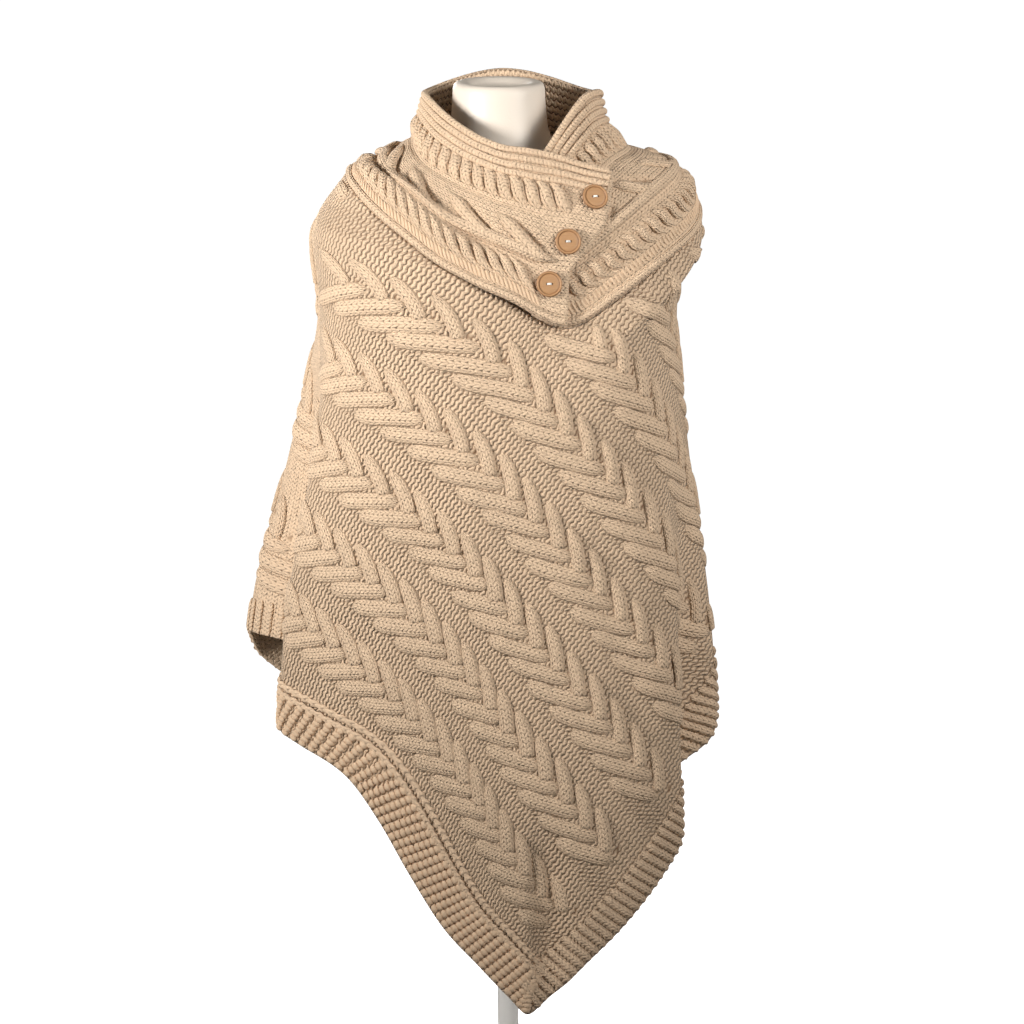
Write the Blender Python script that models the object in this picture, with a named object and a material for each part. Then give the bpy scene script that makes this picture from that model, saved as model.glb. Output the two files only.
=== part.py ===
"""Knitted poncho sweater with a buttoned cowl collar, worn on a limbless dress form.

Two knitted panels, front and back, are cut alike and turned half round from each other. Each hangs from the
lower edge of a deep cabled yoke that stands up round the neck as a cowl and laps over itself on one side,
where three wooden buttons close it. The dress form, its pole and its foot carry the cloth.

Metres, +Z up, the wearer looks along -Y. The origin is the middle of the foot's underside.
Angles go round the body in degrees: 0 is the front, 90 the side at +X.
"""

import math

import bmesh
import bpy
import numpy as np
from mathutils import Matrix, Vector
from mathutils.geometry import delaunay_2d_cdt

# ---------------------------------------------------------------- driving dimensions

WALL = 0.0045            # plain knitted cloth, without its cables
GROUND_DEPTH = 0.002     # how far the plain ground lies inside the garment's outline
CABLE_RISE = 0.0042      # the cables' height over the ground
RIB_RISE = 0.0026        # the hem ribs' height
CORD_RISE = 0.0022       # the narrow edge cords' height
SEAM_GAP = 0.0007        # between two pieces of cloth that are sewn together

CABLE_PITCH = 0.0323     # from one V of a cable to the next, along the knitting
COLUMN_PITCH = 0.0801    # from one cable column to the next, across the knitting
LEFT_ARM = (0.0450, 0.0300)    # how far a V's long arm runs back and sideways from its point
RIGHT_ARM = (0.0432, -0.0242)  # and its steep arm
ARM_HALF_WIDTH = 0.0062  # an arm's foot
HEM_BAND = 0.037         # depth of the ribbed and garter bands
RIB_PITCH = 0.0104       # ribs of the short end
GARTER_PITCH = 0.0106    # ridges of the long edge
CORD_HALF_WIDTH = 0.0045
PLAIN_SEAM = 0.005       # a panel is plain this near to its seams
RIB_SHARE = 0.93         # how much of the band's depth a rib's crest takes
PANEL_GRID = 0.038       # between the loose points of a panel's plain inner face

# The cloth's level lines, from the rim of the cowl down. left, right, front and back are the distances from
# the axis, with the heights there; square is the roundness of the outline (2 is an ellipse) and turn moves
# the lowest point of a sloping line round to that angle.
LEVEL_COLUMNS = ("left", "right", "front", "back", "z_left", "z_right", "z_front", "z_back", "square", "turn")
LEVELS = (
    ("rim",   .088, .094, .080, .074, 1.036, 1.049, .996, 1.057, 2.1, 0),
    ("foot",  .106, .114, .100, .086, .986, .990, .958, 1.004, 2.1, 5),
    ("mid",   .150, .178, .122, .106, .968, .960, .898, .950, 2.1, 12),
    ("yoke",  .174, .204, .141, .124, .957, .926, .806, .893, 2.2, 28),
    ("arm",   .205, .191, .148, .132, .896, .880, .768, .840, 2.35, 16),
    ("chest", .201, .178, .154, .138, .800, .800, .730, .760, 2.4, 0),
    ("waist", .235, .193, .160, .146, .650, .650, .640, .640, 2.4, 0),
    ("side",  .274, .214, .165, .154, .500, .500, .500, .500, 2.4, 0),
    ("hip",   .286, .224, .170, .160, .340, .340, .340, .340, 2.4, 0),
    ("low",   .290, .228, .174, .164, .060, .060, .060, .060, 2.4, 0),
)
LAST_LEVEL = len(LEVELS) - 1
NOMINAL_LEVEL = 5.5      # the level whose girth measures the cloth across

# Hanging folds: a trough at an angle, its half width, the height where it starts and where it is full.
FOLDS = (
    # name                angle  half   top  full  depth
    ("front left seam",    -80,   16,  .82,  .55, .060),
    ("back right seam",    100,   16,  .82,  .55, .046),
    ("front right",         69,   13,  .72,  .34, .042),
    ("back left",         -112,   11,  .72,  .42, .024),
    ("front soft",          14,    9,  .34,  .20, .007),
    ("back soft",          200,    9,  .36,  .20, .008),
)

# Where the yoke's lower edge runs, as a level at each angle.
YOKE_EDGE = (
    # angle, level
    (-180, 3.05), (-150, 3.0), (-120, 2.95), (-98, 2.85), (-82, 2.80), (-68, 3.22), (-55, 3.50),
    (-42, 3.60), (-28, 3.58), (-14, 3.40), (4, 3.10), (24, 3.06), (40, 2.84), (62, 2.74), (95, 2.90),
    (130, 3.0), (180, 3.05),
)

# The hem's height at each angle of a panel, from its seam at -80 round to its seam at 100.
FRONT_HEM = (
    # angle, height
    (-80, .404), (-72, .392), (-60, .370), (-48, .340), (-40, .297), (-32, .245), (-22, .190), (-10, .148),
    (0, .116), (7, .097), (16, .118), (27, .152), (36, .180), (45, .213), (54, .250), (63, .290), (71, .330),
    (80, .366), (90, .424), (100, .452),
)
BACK_HEM = (
    (-80, .410), (-70, .384), (-60, .362), (-48, .325), (-38, .280), (-28, .228), (-16, .172), (-4, .124),
    (4, .102), (14, .120), (25, .158), (36, .206), (48, .266), (58, .322), (68, .386), (78, .438), (86, .466),
    (94, .462), (100, .456),
)

# The knitting's slope below level at each distance across a panel, from its front middle.
WALE_SLOPE = (
    # across, degrees
    (-.26, 12), (-.15, 30), (0, 49.5), (.15, 54.5), (.30, 58), (.42, 60),
)
FIELD_HEIGHT = 0.568     # height along the cloth of the field's zero line at the front middle

# Cable columns of a panel: their number, and how far their V's are moved along, as a share of the pitch.
COLUMNS = (
    # number, shift
    (-7, .25), (-6, .75), (-5, .25), (-4, .75), (-3, .25), (-2, .75), (-1, .25), (0, .75), (1, .25), (2, .80),
    (3, .85), (4, .30), (5, .20), (6, .70),
)
FIRST_COLUMN_CENTRE = 2.5   # the column number that lies on the field's zero line
GARTER_EDGE = 0.262         # where the cable field ends across the knitting
FIRST_SEAM = -80
LAST_SEAM = 100

# The cowl and yoke are one strip, knitted lengthwise from its rim to its lower edge, that goes once round
# from an under end at the front to a flap end that laps over it.
STRIP_WIDTH = 0.150
UNDER_END = 10           # angle where the strip starts, under the flap
FLAP_ENDS = (
    # share of the width from the rim, angle of the flap's end there, one turn on
    (0.0, 414), (.16, 408.5), (.26, 405.5), (.39, 401.5), (.51, 395.5), (.60, 391), (.68, 386.5), (.80, 385),
    (1.0, 383.5),
)
RIM_LEVEL = (
    # angle, level of the strip's rim
    (10, .95), (24, .56), (36, .24), (47, .08), (60, .02), (78, .12), (95, .22), (112, .24), (126, .22),
    (148, .12), (167, .04), (190, 0), (290, 0), (318, .06), (332, .12), (346, .24), (358, .40), (371, .50),
    (381, .64), (391, .84), (400, 1.08), (413, 1.44), (426, 1.75),
)
FLAP_LIFT = 0.0095       # how far the flap lies outside the end beneath it
LIFT_ANGLES = (332, 368)
STRIP_RISE = 0.0032      # its cables
RIM_RIB_RISE = 0.0018
RIM_RIBS = (0.0045, 0.0135, 0.0225)    # distance of each ridge from the rim
RIM_RIB_HALF_WIDTH = 0.0042
ROPES = (
    # distance from the rim, half width, length of a strand along the rope
    (0.0405, .0098, .0120),
    (0.1195, .0086, .0190),
)
ROPE_PITCH = 0.0195
STRAND_HALF_WIDTH = 0.0066
PLAIT_TOP = 0.0590       # the plait's swollen band, from here
PLAIT_SLOPE = 0.0050     # over a sloping edge of this width
PLAIT_SWELL = 0.0020     # with this height
PLAIT_CORD = 0.0953      # to the strand along its foot
PLAIT_CORD_HALF_WIDTH = 0.0068
FALL_PITCH = 0.0585      # strands that fall across the band, one after another
FALL_RUN = 0.0400        # how far each runs along the strip
FALL_MARGIN = 0.0020     # and how near it comes to the band's edges
FALL_HALF_WIDTH = 0.0060
FALL_RISE = 0.0022
EDGE_CORD = 0.1450
EDGE_CORD_HALF_WIDTH = 0.0036
BUTTON_BAND = 0.034      # plain cloth at the flap's end
STRIP_START = 0.006      # where its cables and ridges start
LINE_END = 0.004         # and how far from the flap's end the ridges stop
LINE_STEP = 0.024        # between the points along a ridge
STRIP_MARGIN = 0.012     # how far its plain inner face's loose points stay from its edges
STRIP_GRID = 0.028       # and from each other

# Buttons: share of the strip's width, and how far the middle lies from the flap's end.
BUTTONS = (
    ("button_1", .23, .0155),
    ("button_2", .52, .0205),
    ("button_3", .78, .0183),
)
BUTTON_RADIUS = 0.0133
BUTTON_THICKNESS = 0.0042
BUTTON_SIDES = 18
BUTTON_RIM = 0.0026      # width of its turned rim
BUTTON_RIM_RISE = 0.0008
HOLE_RADIUS = 0.0012
HOLE_OFFSET = 0.0024
BUTTON_LIFT = 0.0014     # between a button and the cloth's ground, for the thread shank

# The dress form's sections, from the top of the neck down.
FORM_COLUMNS = ("half_width", "front", "back", "z", "middle", "square")
FORM = (
    ("cap",          .0475, .0475, .0475, 1.044, -.0095, 2.0),
    ("neck",         .0490, .0490, .0490, 1.018, -.0095, 2.0),
    ("throat",       .0530, .0510, .0530, .990, -.0085, 2.0),
    ("neck foot",    .0700, .0570, .0600, .966, -.0050, 2.0),
    ("collar bone",  .1150, .0700, .0740, .947, .0, 2.1),
    ("shoulder",     .1480, .0840, .0860, .928, .0, 2.2),
    ("arm top",      .1660, .1000, .1000, .894, .0, 2.3),
    ("arm",          .1680, .1160, .1080, .850, .0, 2.3),
    ("bust",         .1580, .1300, .1120, .780, .0, 2.3),
    ("under bust",   .1520, .1200, .1060, .690, .0, 2.2),
    ("waist",        .1330, .1020, .0960, .590, .0, 2.2),
    ("hip",          .1500, .1120, .1080, .470, .0, 2.2),
    ("hem",          .1520, .1100, .1080, .392, .0, 2.2),
    ("turn",         .1440, .1020, .1000, .378, .0, 2.2),
)
FORM_SIDES = 24
CAP_TILT = 0.09          # slope of the neck's top towards the front
CAP_EDGE = 0.0035        # its rounded edge
CAP_DISH_RADIUS = 0.030
CAP_DISH_DEPTH = 0.006
CAP_DISH_FLOOR = 0.72    # radius of the dish's floor, as a share of the dish's
CAP_CROWN = 0.0012       # how much the cap rises inside its edge
TILT_FROM = 0.98         # the height where the neck's rings start to tilt with the cap

FOOT_RADIUS = 0.150
FOOT_HEIGHT = 0.014
FOOT_HUB_RADIUS = 0.026
FOOT_HUB_HEIGHT = 0.034
FOOT_HUB_BEVEL = 0.005
FOOT_HUB_FLARE = 0.006
FOOT_EDGE = 0.012        # width of the disc's sloping edge
FOOT_SIDES = 28
POLE_RADIUS = 0.011
POLE_SIDES = 16
PART_GAP = 0.0003        # between hard parts that rest on each other

# ---------------------------------------------------------------- small helpers


def clear_scene():
    for thing in list(bpy.data.objects):
        bpy.data.objects.remove(thing, do_unlink=True)


def material(name, colour, roughness, metallic=0.0):
    made = bpy.data.materials.new(name)
    made.use_nodes = True
    shader = made.node_tree.nodes["Principled BSDF"]
    shader.inputs["Base Color"].default_value = (*colour, 1.0)
    shader.inputs["Roughness"].default_value = roughness
    shader.inputs["Metallic"].default_value = metallic
    return made


def solid(name, points, faces, finish):
    mesh = bpy.data.meshes.new(name)
    mesh.from_pydata([tuple(p) for p in points], [], [tuple(f) for f in faces])
    mesh.update()
    thing = bpy.data.objects.new(name, mesh)
    thing.data.materials.append(finish)
    bpy.context.scene.collection.objects.link(thing)
    return thing


def smooth_step(x):
    x = np.clip(x, 0.0, 1.0)
    return x * x * (3.0 - 2.0 * x)


def through(rows, x):
    """A smooth curve through (x, value) rows, by cubic pieces whose slopes never overshoot."""
    xs = np.array([r[0] for r in rows], float)
    ys = np.array([r[1] for r in rows], float)
    step = np.diff(xs)
    rate = np.diff(ys) / step
    slope = np.concatenate([[rate[0]], (rate[1:] + rate[:-1]) / 2, [rate[-1]]])
    flat = np.concatenate([[False], rate[1:] * rate[:-1] <= 0, [False]])
    slope[flat] = 0.0
    i = np.clip(np.searchsorted(xs, x) - 1, 0, len(xs) - 2)
    f = np.clip((x - xs[i]) / step[i], 0.0, 1.0)
    return (
        ys[i] * (1 + 2 * f) * (1 - f) ** 2
        + ys[i + 1] * f * f * (3 - 2 * f)
        + step[i] * (slope[i] * f * (1 - f) ** 2 - slope[i + 1] * f * f * (1 - f))
    )


# ---------------------------------------------------------------- the draped surface


def at_level(column, level):
    """One column of LEVELS, read smoothly between its rows."""
    values = np.array([row[1 + LEVEL_COLUMNS.index(column)] for row in LEVELS], float)
    level = np.clip(level, 0.0, LAST_LEVEL - 1e-9)
    i = np.floor(level).astype(int)
    f = level - i
    here, after = values[i], values[i + 1]
    before = values[np.maximum(i - 1, 0)]
    beyond = values[np.minimum(i + 2, LAST_LEVEL)]
    enter = np.where(i > 0, (after - before) / 2, after - here)
    leave = np.where(i < LAST_LEVEL - 1, (beyond - here) / 2, after - here)
    return (
        here * (1 + 2 * f) * (1 - f) ** 2
        + after * f * f * (3 - 2 * f)
        + enter * f * (1 - f) ** 2
        - leave * f * f * (1 - f)
    )


def smooth_ring(angle, level):
    """Distance from the axis and height of the cloth without its folds."""
    a = np.radians(angle)
    side, ahead = np.sin(a), np.cos(a)
    half_width = np.where(side < 0, at_level("left", level), at_level("right", level))
    half_depth = np.where(ahead > 0, at_level("front", level), at_level("back", level))
    power = at_level("square", level)
    radius = (np.abs(side / half_width) ** power + np.abs(ahead / half_depth) ** power) ** (-1 / power)
    turned = a - np.radians(at_level("turn", level))
    side, ahead = np.sin(turned), np.cos(turned)
    at_side = np.where(side < 0, at_level("z_left", level), at_level("z_right", level))
    at_end = np.where(ahead > 0, at_level("z_front", level), at_level("z_back", level))
    return radius, at_side * side**2 + at_end * ahead**2


def off_angle(angle, centre):
    return (np.asarray(angle) - centre + 180.0) % 360.0 - 180.0


def fold_depth(angle, height):
    total = 0.0
    for _, centre, half, top, full, depth in FOLDS:
        u = np.clip(off_angle(angle, centre) / half, -1.0, 1.0)
        total = total + depth * smooth_step((top - height) / (top - full)) * (1 + np.cos(math.pi * u)) / 2
    return total


def bare_point(angle, level):
    radius, height = smooth_ring(angle, level)
    radius = radius - fold_depth(angle, height)
    a = np.radians(angle)
    return np.stack([radius * np.sin(a), -radius * np.cos(a), height], -1)


def outward(angle, level):
    """The cloth's outward direction."""
    d_angle, d_level = 0.2, 0.01
    low = np.clip(level - d_level, 0.0, LAST_LEVEL)
    high = np.clip(level + d_level, 0.0, LAST_LEVEL)
    round_it = bare_point(angle + d_angle, level) - bare_point(angle - d_angle, level)
    down_it = bare_point(angle, high) - bare_point(angle, low)
    normal = np.cross(down_it, round_it)
    return normal / np.linalg.norm(normal, axis=-1, keepdims=True)


def cloth_point(angle, level, out):
    """A point of the cloth, `out` metres outside the garment's outline."""
    return bare_point(angle, level) + outward(angle, level) * np.asarray(out)[..., None]


# ---------------------------------------------------------------- a panel laid flat


class Flat:
    """Unrolls one panel: across is the distance round from its middle, up the height along the cloth."""

    ANGLE_STEP = 2.0
    LEVEL_STEP = 0.05

    def __init__(self, turn):
        self.turn = turn
        self.angles = np.arange(FIRST_SEAM - 4, LAST_SEAM + 4.1, self.ANGLE_STEP)
        radius, _ = smooth_ring(self.angles + turn, np.full(self.angles.shape, NOMINAL_LEVEL))
        arc = np.concatenate([[0.0], np.cumsum((radius[1:] + radius[:-1]) / 2 * np.radians(self.ANGLE_STEP))])
        self.arcs = arc - np.interp(0.0, self.angles, arc)
        self.levels = np.arange(2.4, LAST_LEVEL + 1e-6, self.LEVEL_STEP)
        grid_angle, grid_level = np.meshgrid(self.angles + turn, self.levels, indexing="ij")
        radius, height = smooth_ring(grid_angle, grid_level)
        a = np.radians(grid_angle)
        points = np.stack([radius * np.sin(a), -radius * np.cos(a), height], -1)
        steps = np.linalg.norm(np.diff(points, axis=1), axis=-1)
        self.ups = np.zeros(grid_angle.shape)
        self.ups[:, :-1] = np.cumsum(steps[:, ::-1], axis=1)[:, ::-1]
        self.ups += LEVELS[-1][1 + LEVEL_COLUMNS.index("z_front")]

    def angle(self, across):
        return np.interp(across, self.arcs, self.angles)

    def across(self, angle):
        return np.interp(angle, self.angles, self.arcs)

    def _column(self, angle):
        at = np.clip((angle - self.angles[0]) / self.ANGLE_STEP, 0, len(self.angles) - 1.001)
        i = int(at)
        return self.ups[i] * (1 - at + i) + self.ups[i + 1] * (at - i)

    def up(self, angle, level):
        return float(np.interp(level, self.levels, self._column(angle)))

    def level(self, across, up):
        """The level of each flat point."""
        found = []
        for a, u in zip(self.angle(np.asarray(across)), np.asarray(up)):
            column = self._column(a)
            found.append(np.interp(-u, -column, self.levels))
        return np.array(found)

    def place(self, flat, out):
        """Points of the cloth from flat (across, up) pairs, `out` metres outside the outline."""
        flat = np.asarray(flat, float)
        level = self.level(flat[:, 0], flat[:, 1])
        return cloth_point(self.angle(flat[:, 0]) + self.turn, level, out)


# The knitting field: along and across the wales, worked out from the slope table on the flat panel.
FIELD_ACROSS = np.linspace(-0.34, 0.62, 961)


def field_curves():
    slope = np.radians(np.interp(FIELD_ACROSS, *zip(*WALE_SLOPE)))
    step = FIELD_ACROSS[1] - FIELD_ACROSS[0]

    def summed(values):
        total = np.concatenate([[0.0], np.cumsum((values[1:] + values[:-1]) / 2 * step)])
        return total - np.interp(0.0, FIELD_ACROSS, total)

    return slope, summed(np.tan(slope)), summed(1 / np.cos(slope))


SLOPE, FALL, RUN = field_curves()


def knit_of(flat):
    """(along, over) of flat points: along the wales, and across them towards the long free edge."""
    flat = np.asarray(flat, float)
    slope = np.interp(flat[..., 0], FIELD_ACROSS, SLOPE)
    below = FIELD_HEIGHT - flat[..., 1] - np.interp(flat[..., 0], FIELD_ACROSS, FALL)
    along = np.interp(flat[..., 0], FIELD_ACROSS, RUN) + below * np.sin(slope)
    return np.stack([along, below * np.cos(slope)], -1)


def flat_of(along, over):
    """The flat point of one place in the knitting."""
    across = float(np.interp(along, RUN + over * np.tan(SLOPE), FIELD_ACROSS))
    slope = np.interp(across, FIELD_ACROSS, SLOPE)
    up = FIELD_HEIGHT - np.interp(across, FIELD_ACROSS, FALL) - over / math.cos(slope)
    return across, float(up)


# ---------------------------------------------------------------- relief


def chevron(along, over):
    """One V: seven (along, over) points round its foot and three along its crest."""
    point = Vector((along, over))
    left_arm = Vector((-LEFT_ARM[0], LEFT_ARM[1]))
    right_arm = Vector((-RIGHT_ARM[0], RIGHT_ARM[1]))
    left_way, right_way = left_arm.normalized(), right_arm.normalized()
    left_end, right_end = point + left_arm, point + right_arm
    left_out = Vector((left_way.y, -left_way.x)) * ARM_HALF_WIDTH
    right_out = Vector((-right_way.y, right_way.x)) * ARM_HALF_WIDTH
    half_turn = left_way.angle(right_way) / 2
    inner = point + (left_way + right_way).normalized() * (ARM_HALF_WIDTH / math.sin(half_turn))
    foot = [
        left_end + left_out,
        left_end - left_out,
        inner,
        right_end - right_out,
        right_end + right_out,
        point + right_out,
        point + left_out,
    ]
    return foot, [left_end - left_way * ARM_HALF_WIDTH, point, right_end - right_way * ARM_HALF_WIDTH]


def cable_height(knit, points):
    """Height over the ground of each (along, over) place, from the points of the V's given."""
    best = np.zeros(len(knit))
    for apex in points:
        for back, side in (LEFT_ARM, RIGHT_ARM):
            way = np.array([-back, side])
            length = np.linalg.norm(way)
            way = way / length
            t = np.clip((knit - apex) @ way, 0.0, length - ARM_HALF_WIDTH)
            far = np.linalg.norm(knit - apex - t[:, None] * way, axis=1)
            best = np.maximum(best, CABLE_RISE * np.clip(1 - far / ARM_HALF_WIDTH, 0.0, 1.0))
    return best


# ---------------------------------------------------------------- walls from flat outlines


class Drawing:
    """Points and lines of a flat pattern piece, each point with its height over the ground."""

    def __init__(self):
        self.points, self.heights, self.lines = [], [], []

    def add(self, points, heights, closed=False):
        first = len(self.points)
        self.points += [tuple(p) for p in points]
        self.heights += list(heights)
        count = len(points)
        for i in range(count if closed else count - 1):
            self.lines.append((first + i, first + (i + 1) % count))
        return list(range(first, first + count))


def wall(name, outline, outline_heights, outer, inner, place, height_at, finish):
    """A closed wall from a flat outline: a drawn outer face, a plain inner face and the edge between."""
    tolerance = 0.0002
    count = len(outline)
    points = [Vector(p) for p in outline] + [Vector(p) for p in outer.points]
    lines = [(a + count, b + count) for a, b in outer.lines]
    made, _, faces, origins, _, _ = delaunay_2d_cdt(points, lines, [list(range(count))], 1, tolerance)
    flat = np.array([tuple(p) for p in made])
    faces = [f for f in faces if inside_of(flat[list(f)].mean(axis=0), outline)]
    flat, faces, origins = used_only(flat, faces, origins)
    heights = height_at(flat)
    given = list(outline_heights) + list(outer.heights)
    for i, sources in enumerate(origins):
        if sources:
            heights[i] = given[min(sources)]
    loop = boundary_loop(faces)
    on_edge = set(loop)
    drawn = {j for j, sources in enumerate(origins) if sources and min(sources) < count}
    for i in on_edge - drawn:
        heights[i] = 0.0
    outer_3d = place(flat, heights - GROUND_DEPTH)

    ring_points = [Vector(flat[i]) for i in loop]
    n = len(ring_points)
    inside = ring_points + [Vector(p) for p in inner.points]
    inner_lines = [(a + n, b + n) for a, b in inner.lines]
    plain, _, back_faces, back_origins, _, _ = delaunay_2d_cdt(
        inside, inner_lines, [list(range(n))], 1, tolerance / 4
    )
    back_flat = np.array([tuple(p) for p in plain])
    inner_3d = place(back_flat, np.full(len(back_flat), -GROUND_DEPTH - WALL))
    back_of = {}
    for i, sources in enumerate(back_origins):
        for s in sources:
            if s < n:
                back_of[s] = i
    shift = len(outer_3d)
    all_faces = [tuple(f) for f in faces]
    all_faces += [tuple(shift + v for v in reversed(f)) for f in back_faces]
    for i in range(n):
        j = (i + 1) % n
        a, b = loop[i], loop[j]
        c, d = shift + back_of[i], shift + back_of[j]
        all_faces += [(b, a, c), (b, c, d)]
    thing = solid(name, list(outer_3d) + list(inner_3d), all_faces, finish)
    face_out(thing)
    return thing


def inside_of(point, outline):
    """Whether a flat point lies inside a closed outline, by counting the edges to its right."""
    inside = False
    for (x0, y0), (x1, y1) in zip(outline, outline[1:] + outline[:1]):
        if (y0 > point[1]) != (y1 > point[1]):
            if point[0] < x0 + (x1 - x0) * (point[1] - y0) / (y1 - y0):
                inside = not inside
    return inside


def used_only(flat, faces, origins):
    """Drops the points that no face uses."""
    kept = sorted({v for f in faces for v in f})
    renamed = {v: i for i, v in enumerate(kept)}
    return flat[kept], [tuple(renamed[v] for v in f) for f in faces], [origins[v] for v in kept]


def boundary_loop(faces):
    """The vertices round a flat triangulation, in its faces' own order."""
    after = {}
    seen = set()
    for f in faces:
        for a, b in zip(f, list(f[1:]) + [f[0]]):
            seen.add((a, b))
    for a, b in seen:
        if (b, a) not in seen:
            after[a] = b
    start = next(iter(after))
    loop = [start]
    while after[loop[-1]] != start:
        loop.append(after[loop[-1]])
    return loop


def face_out(thing):
    """Turns a closed mesh's faces outwards."""
    shape = bmesh.new()
    shape.from_mesh(thing.data)
    bmesh.ops.recalc_face_normals(shape, faces=shape.faces)
    if shape.calc_volume(signed=True) < 0:
        bmesh.ops.reverse_faces(shape, faces=shape.faces)
    shape.to_mesh(thing.data)
    shape.free()


# ---------------------------------------------------------------- the two panels


def panel(name, turn, hem_rows, finish):
    flat = Flat(turn)
    left = float(flat.across(FIRST_SEAM)) + SEAM_GAP / 2
    right = float(flat.across(LAST_SEAM)) - SEAM_GAP / 2

    def hem_up(across):
        angle = float(flat.angle(across))
        height = float(through(hem_rows, angle))
        level = level_of_height(height)
        return flat.up(angle, level)

    def yoke_up(across):
        angle = float(flat.angle(across))
        return flat.up(angle, yoke_level(angle + turn)) - SEAM_GAP

    ribs = hem_ribs(hem_up, left, right)
    outline, heights = panel_outline(flat, left, right, yoke_up, ribs)
    outer, inner = Drawing(), Drawing()
    apexes = draw_cables(outer, left, right, hem_up, yoke_up, ribs)
    draw_ribs(outer, ribs)
    cord = draw_cord(outer, ribs)
    draw_fold_lines(flat, turn, left, right, hem_up, yoke_up, outer, inner)
    draw_plain_grid(left, right, hem_up, yoke_up, inner)

    def height_at(points):
        return np.maximum(cable_height(knit_of(points), apexes), strip_height(points, cord))

    return wall(name, outline, heights, outer, inner, flat.place, height_at, finish)


def level_of_height(height):
    """The level of a height below the waist, where the level lines are level all round."""
    levels = np.linspace(6.0, LAST_LEVEL, 121)
    heights = at_level("z_front", levels)
    return float(np.interp(-height, -heights, levels))


def yoke_level(angle):
    return float(through(YOKE_EDGE, float(off_angle(angle, 0.0))))


def hem_ribs(hem_up, left, right):
    """Rib lines across the hem bands: (foot at the hem, top inside the band, height), from left to right."""
    samples = np.linspace(left, right, 400)
    line = np.array([(x, hem_up(x)) for x in samples])
    steps = np.linalg.norm(np.diff(line, axis=0), axis=1)
    lengths = np.concatenate([[0.0], np.cumsum(steps)])
    tip = int(np.argmin(line[:, 1]))
    rows = []
    for start, end, pitch, rise in (
        (0.0, lengths[tip], GARTER_PITCH, RIB_RISE * 0.8),
        (lengths[tip], lengths[-1], RIB_PITCH, RIB_RISE),
    ):
        count = max(2, 2 * round((end - start) / pitch))
        for i in range(count + 1):
            at = start + (end - start) * i / count
            if rows and i == 0:
                continue
            foot = np.array([np.interp(at, lengths, line[:, 0]), np.interp(at, lengths, line[:, 1])])
            behind = np.interp(at - 0.02, lengths, line[:, 0]), np.interp(at - 0.02, lengths, line[:, 1])
            ahead = np.interp(at + 0.02, lengths, line[:, 0]), np.interp(at + 0.02, lengths, line[:, 1])
            way = np.array(ahead) - np.array(behind)
            way = way / np.linalg.norm(way)
            inward = np.array([-way[1], way[0]])
            rows.append((foot, foot + inward * HEM_BAND, rise if i % 2 else 0.0))
    return rows


def panel_outline(flat, left, right, yoke_up, ribs):
    """The flat outline, anticlockwise: hem from left to right, right seam, yoke edge, left seam."""
    hem = [row[0] for row in ribs]
    hem[0] = np.array([left, hem[0][1]])
    hem[-1] = np.array([right, hem[-1][1]])
    points = [tuple(p) for p in hem]
    heights = [row[2] for row in ribs]
    top_right = (right, yoke_up(right))
    top_left = (left, yoke_up(left))
    points += seam_points(flat, LAST_SEAM, right, hem[-1][1], top_right[1])
    points.append(top_right)
    stops = [float(flat.across(a)) for a in edge_stations()]
    points += [(x, yoke_up(x)) for x in reversed(stops)]
    points.append(top_left)
    points += list(reversed(seam_points(flat, FIRST_SEAM, left, hem[0][1], top_left[1])))
    heights += [0.0] * (len(points) - len(heights))
    return points, heights


SEAM_LEVELS = np.arange(3.5, LAST_LEVEL, 0.35)
EDGE_STEP = 5.0          # degrees between the points of the yoke's lower edge, counted from the front seam


def seam_points(flat, angle, across, low, high):
    """Points up a seam, at levels that both panels share."""
    ups = [flat.up(angle, level) for level in SEAM_LEVELS]
    inside = sorted(u for u in ups if low + 0.01 < u < high - 0.01)
    return [(across, u) for u in inside]


def edge_stations():
    """A panel's angles at the yoke edge's points, strictly between its seams."""
    count = round((LAST_SEAM - FIRST_SEAM) / EDGE_STEP)
    return [FIRST_SEAM + k * EDGE_STEP for k in range(1, count)]


def draw_cables(outer, left, right, hem_up, yoke_up, ribs):
    """Puts every V of every column that lies in the cable field, and returns their points."""
    tops = np.array([row[1] for row in ribs])
    apexes = []
    for number, shift in COLUMNS:
        over = (number - FIRST_COLUMN_CENTRE) * COLUMN_PITCH
        for step in range(-30, 50):
            along = (step + shift) * CABLE_PITCH
            feet, crest = chevron(along, over)
            places = [flat_of(*p) for p in feet]
            across = [p[0] for p in places]
            if min(across) < left + PLAIN_SEAM or max(across) > right - PLAIN_SEAM:
                continue
            if max(p.y for p in feet) > GARTER_EDGE:
                continue
            if any(p[1] < hem_up(p[0]) + 0.004 or near_band(p, tops) for p in places):
                continue
            above = sum(p[1] > yoke_up(p[0]) for p in places)
            if above == len(places):
                continue
            apexes.append(np.array([along, over]))
            outer.add(places, [0.0] * len(places), closed=True)
            outer.add([flat_of(*p) for p in crest], [CABLE_RISE] * len(crest))
    return apexes


def near_band(point, tops):
    """True where a flat point lies in the hem band or beside its cord."""
    away = tops - np.array(point)
    nearest = int(np.argmin((away**2).sum(axis=1)))
    a = tops[max(nearest - 1, 0)]
    b = tops[min(nearest + 1, len(tops) - 1)]
    way = (b - a) / np.linalg.norm(b - a)
    inward = (point[1] - tops[nearest][1]) * way[0] - (point[0] - tops[nearest][0]) * way[1]
    return inward < 2 * CORD_HALF_WIDTH + 0.002


def draw_ribs(outer, ribs):
    """The ribs' lines, from just inside the hem to the top of the band, and the ground line above them."""
    for foot, top, rise in ribs[1:-1]:
        outer.add([foot, foot + (top - foot) * RIB_SHARE], [rise, rise])


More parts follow.
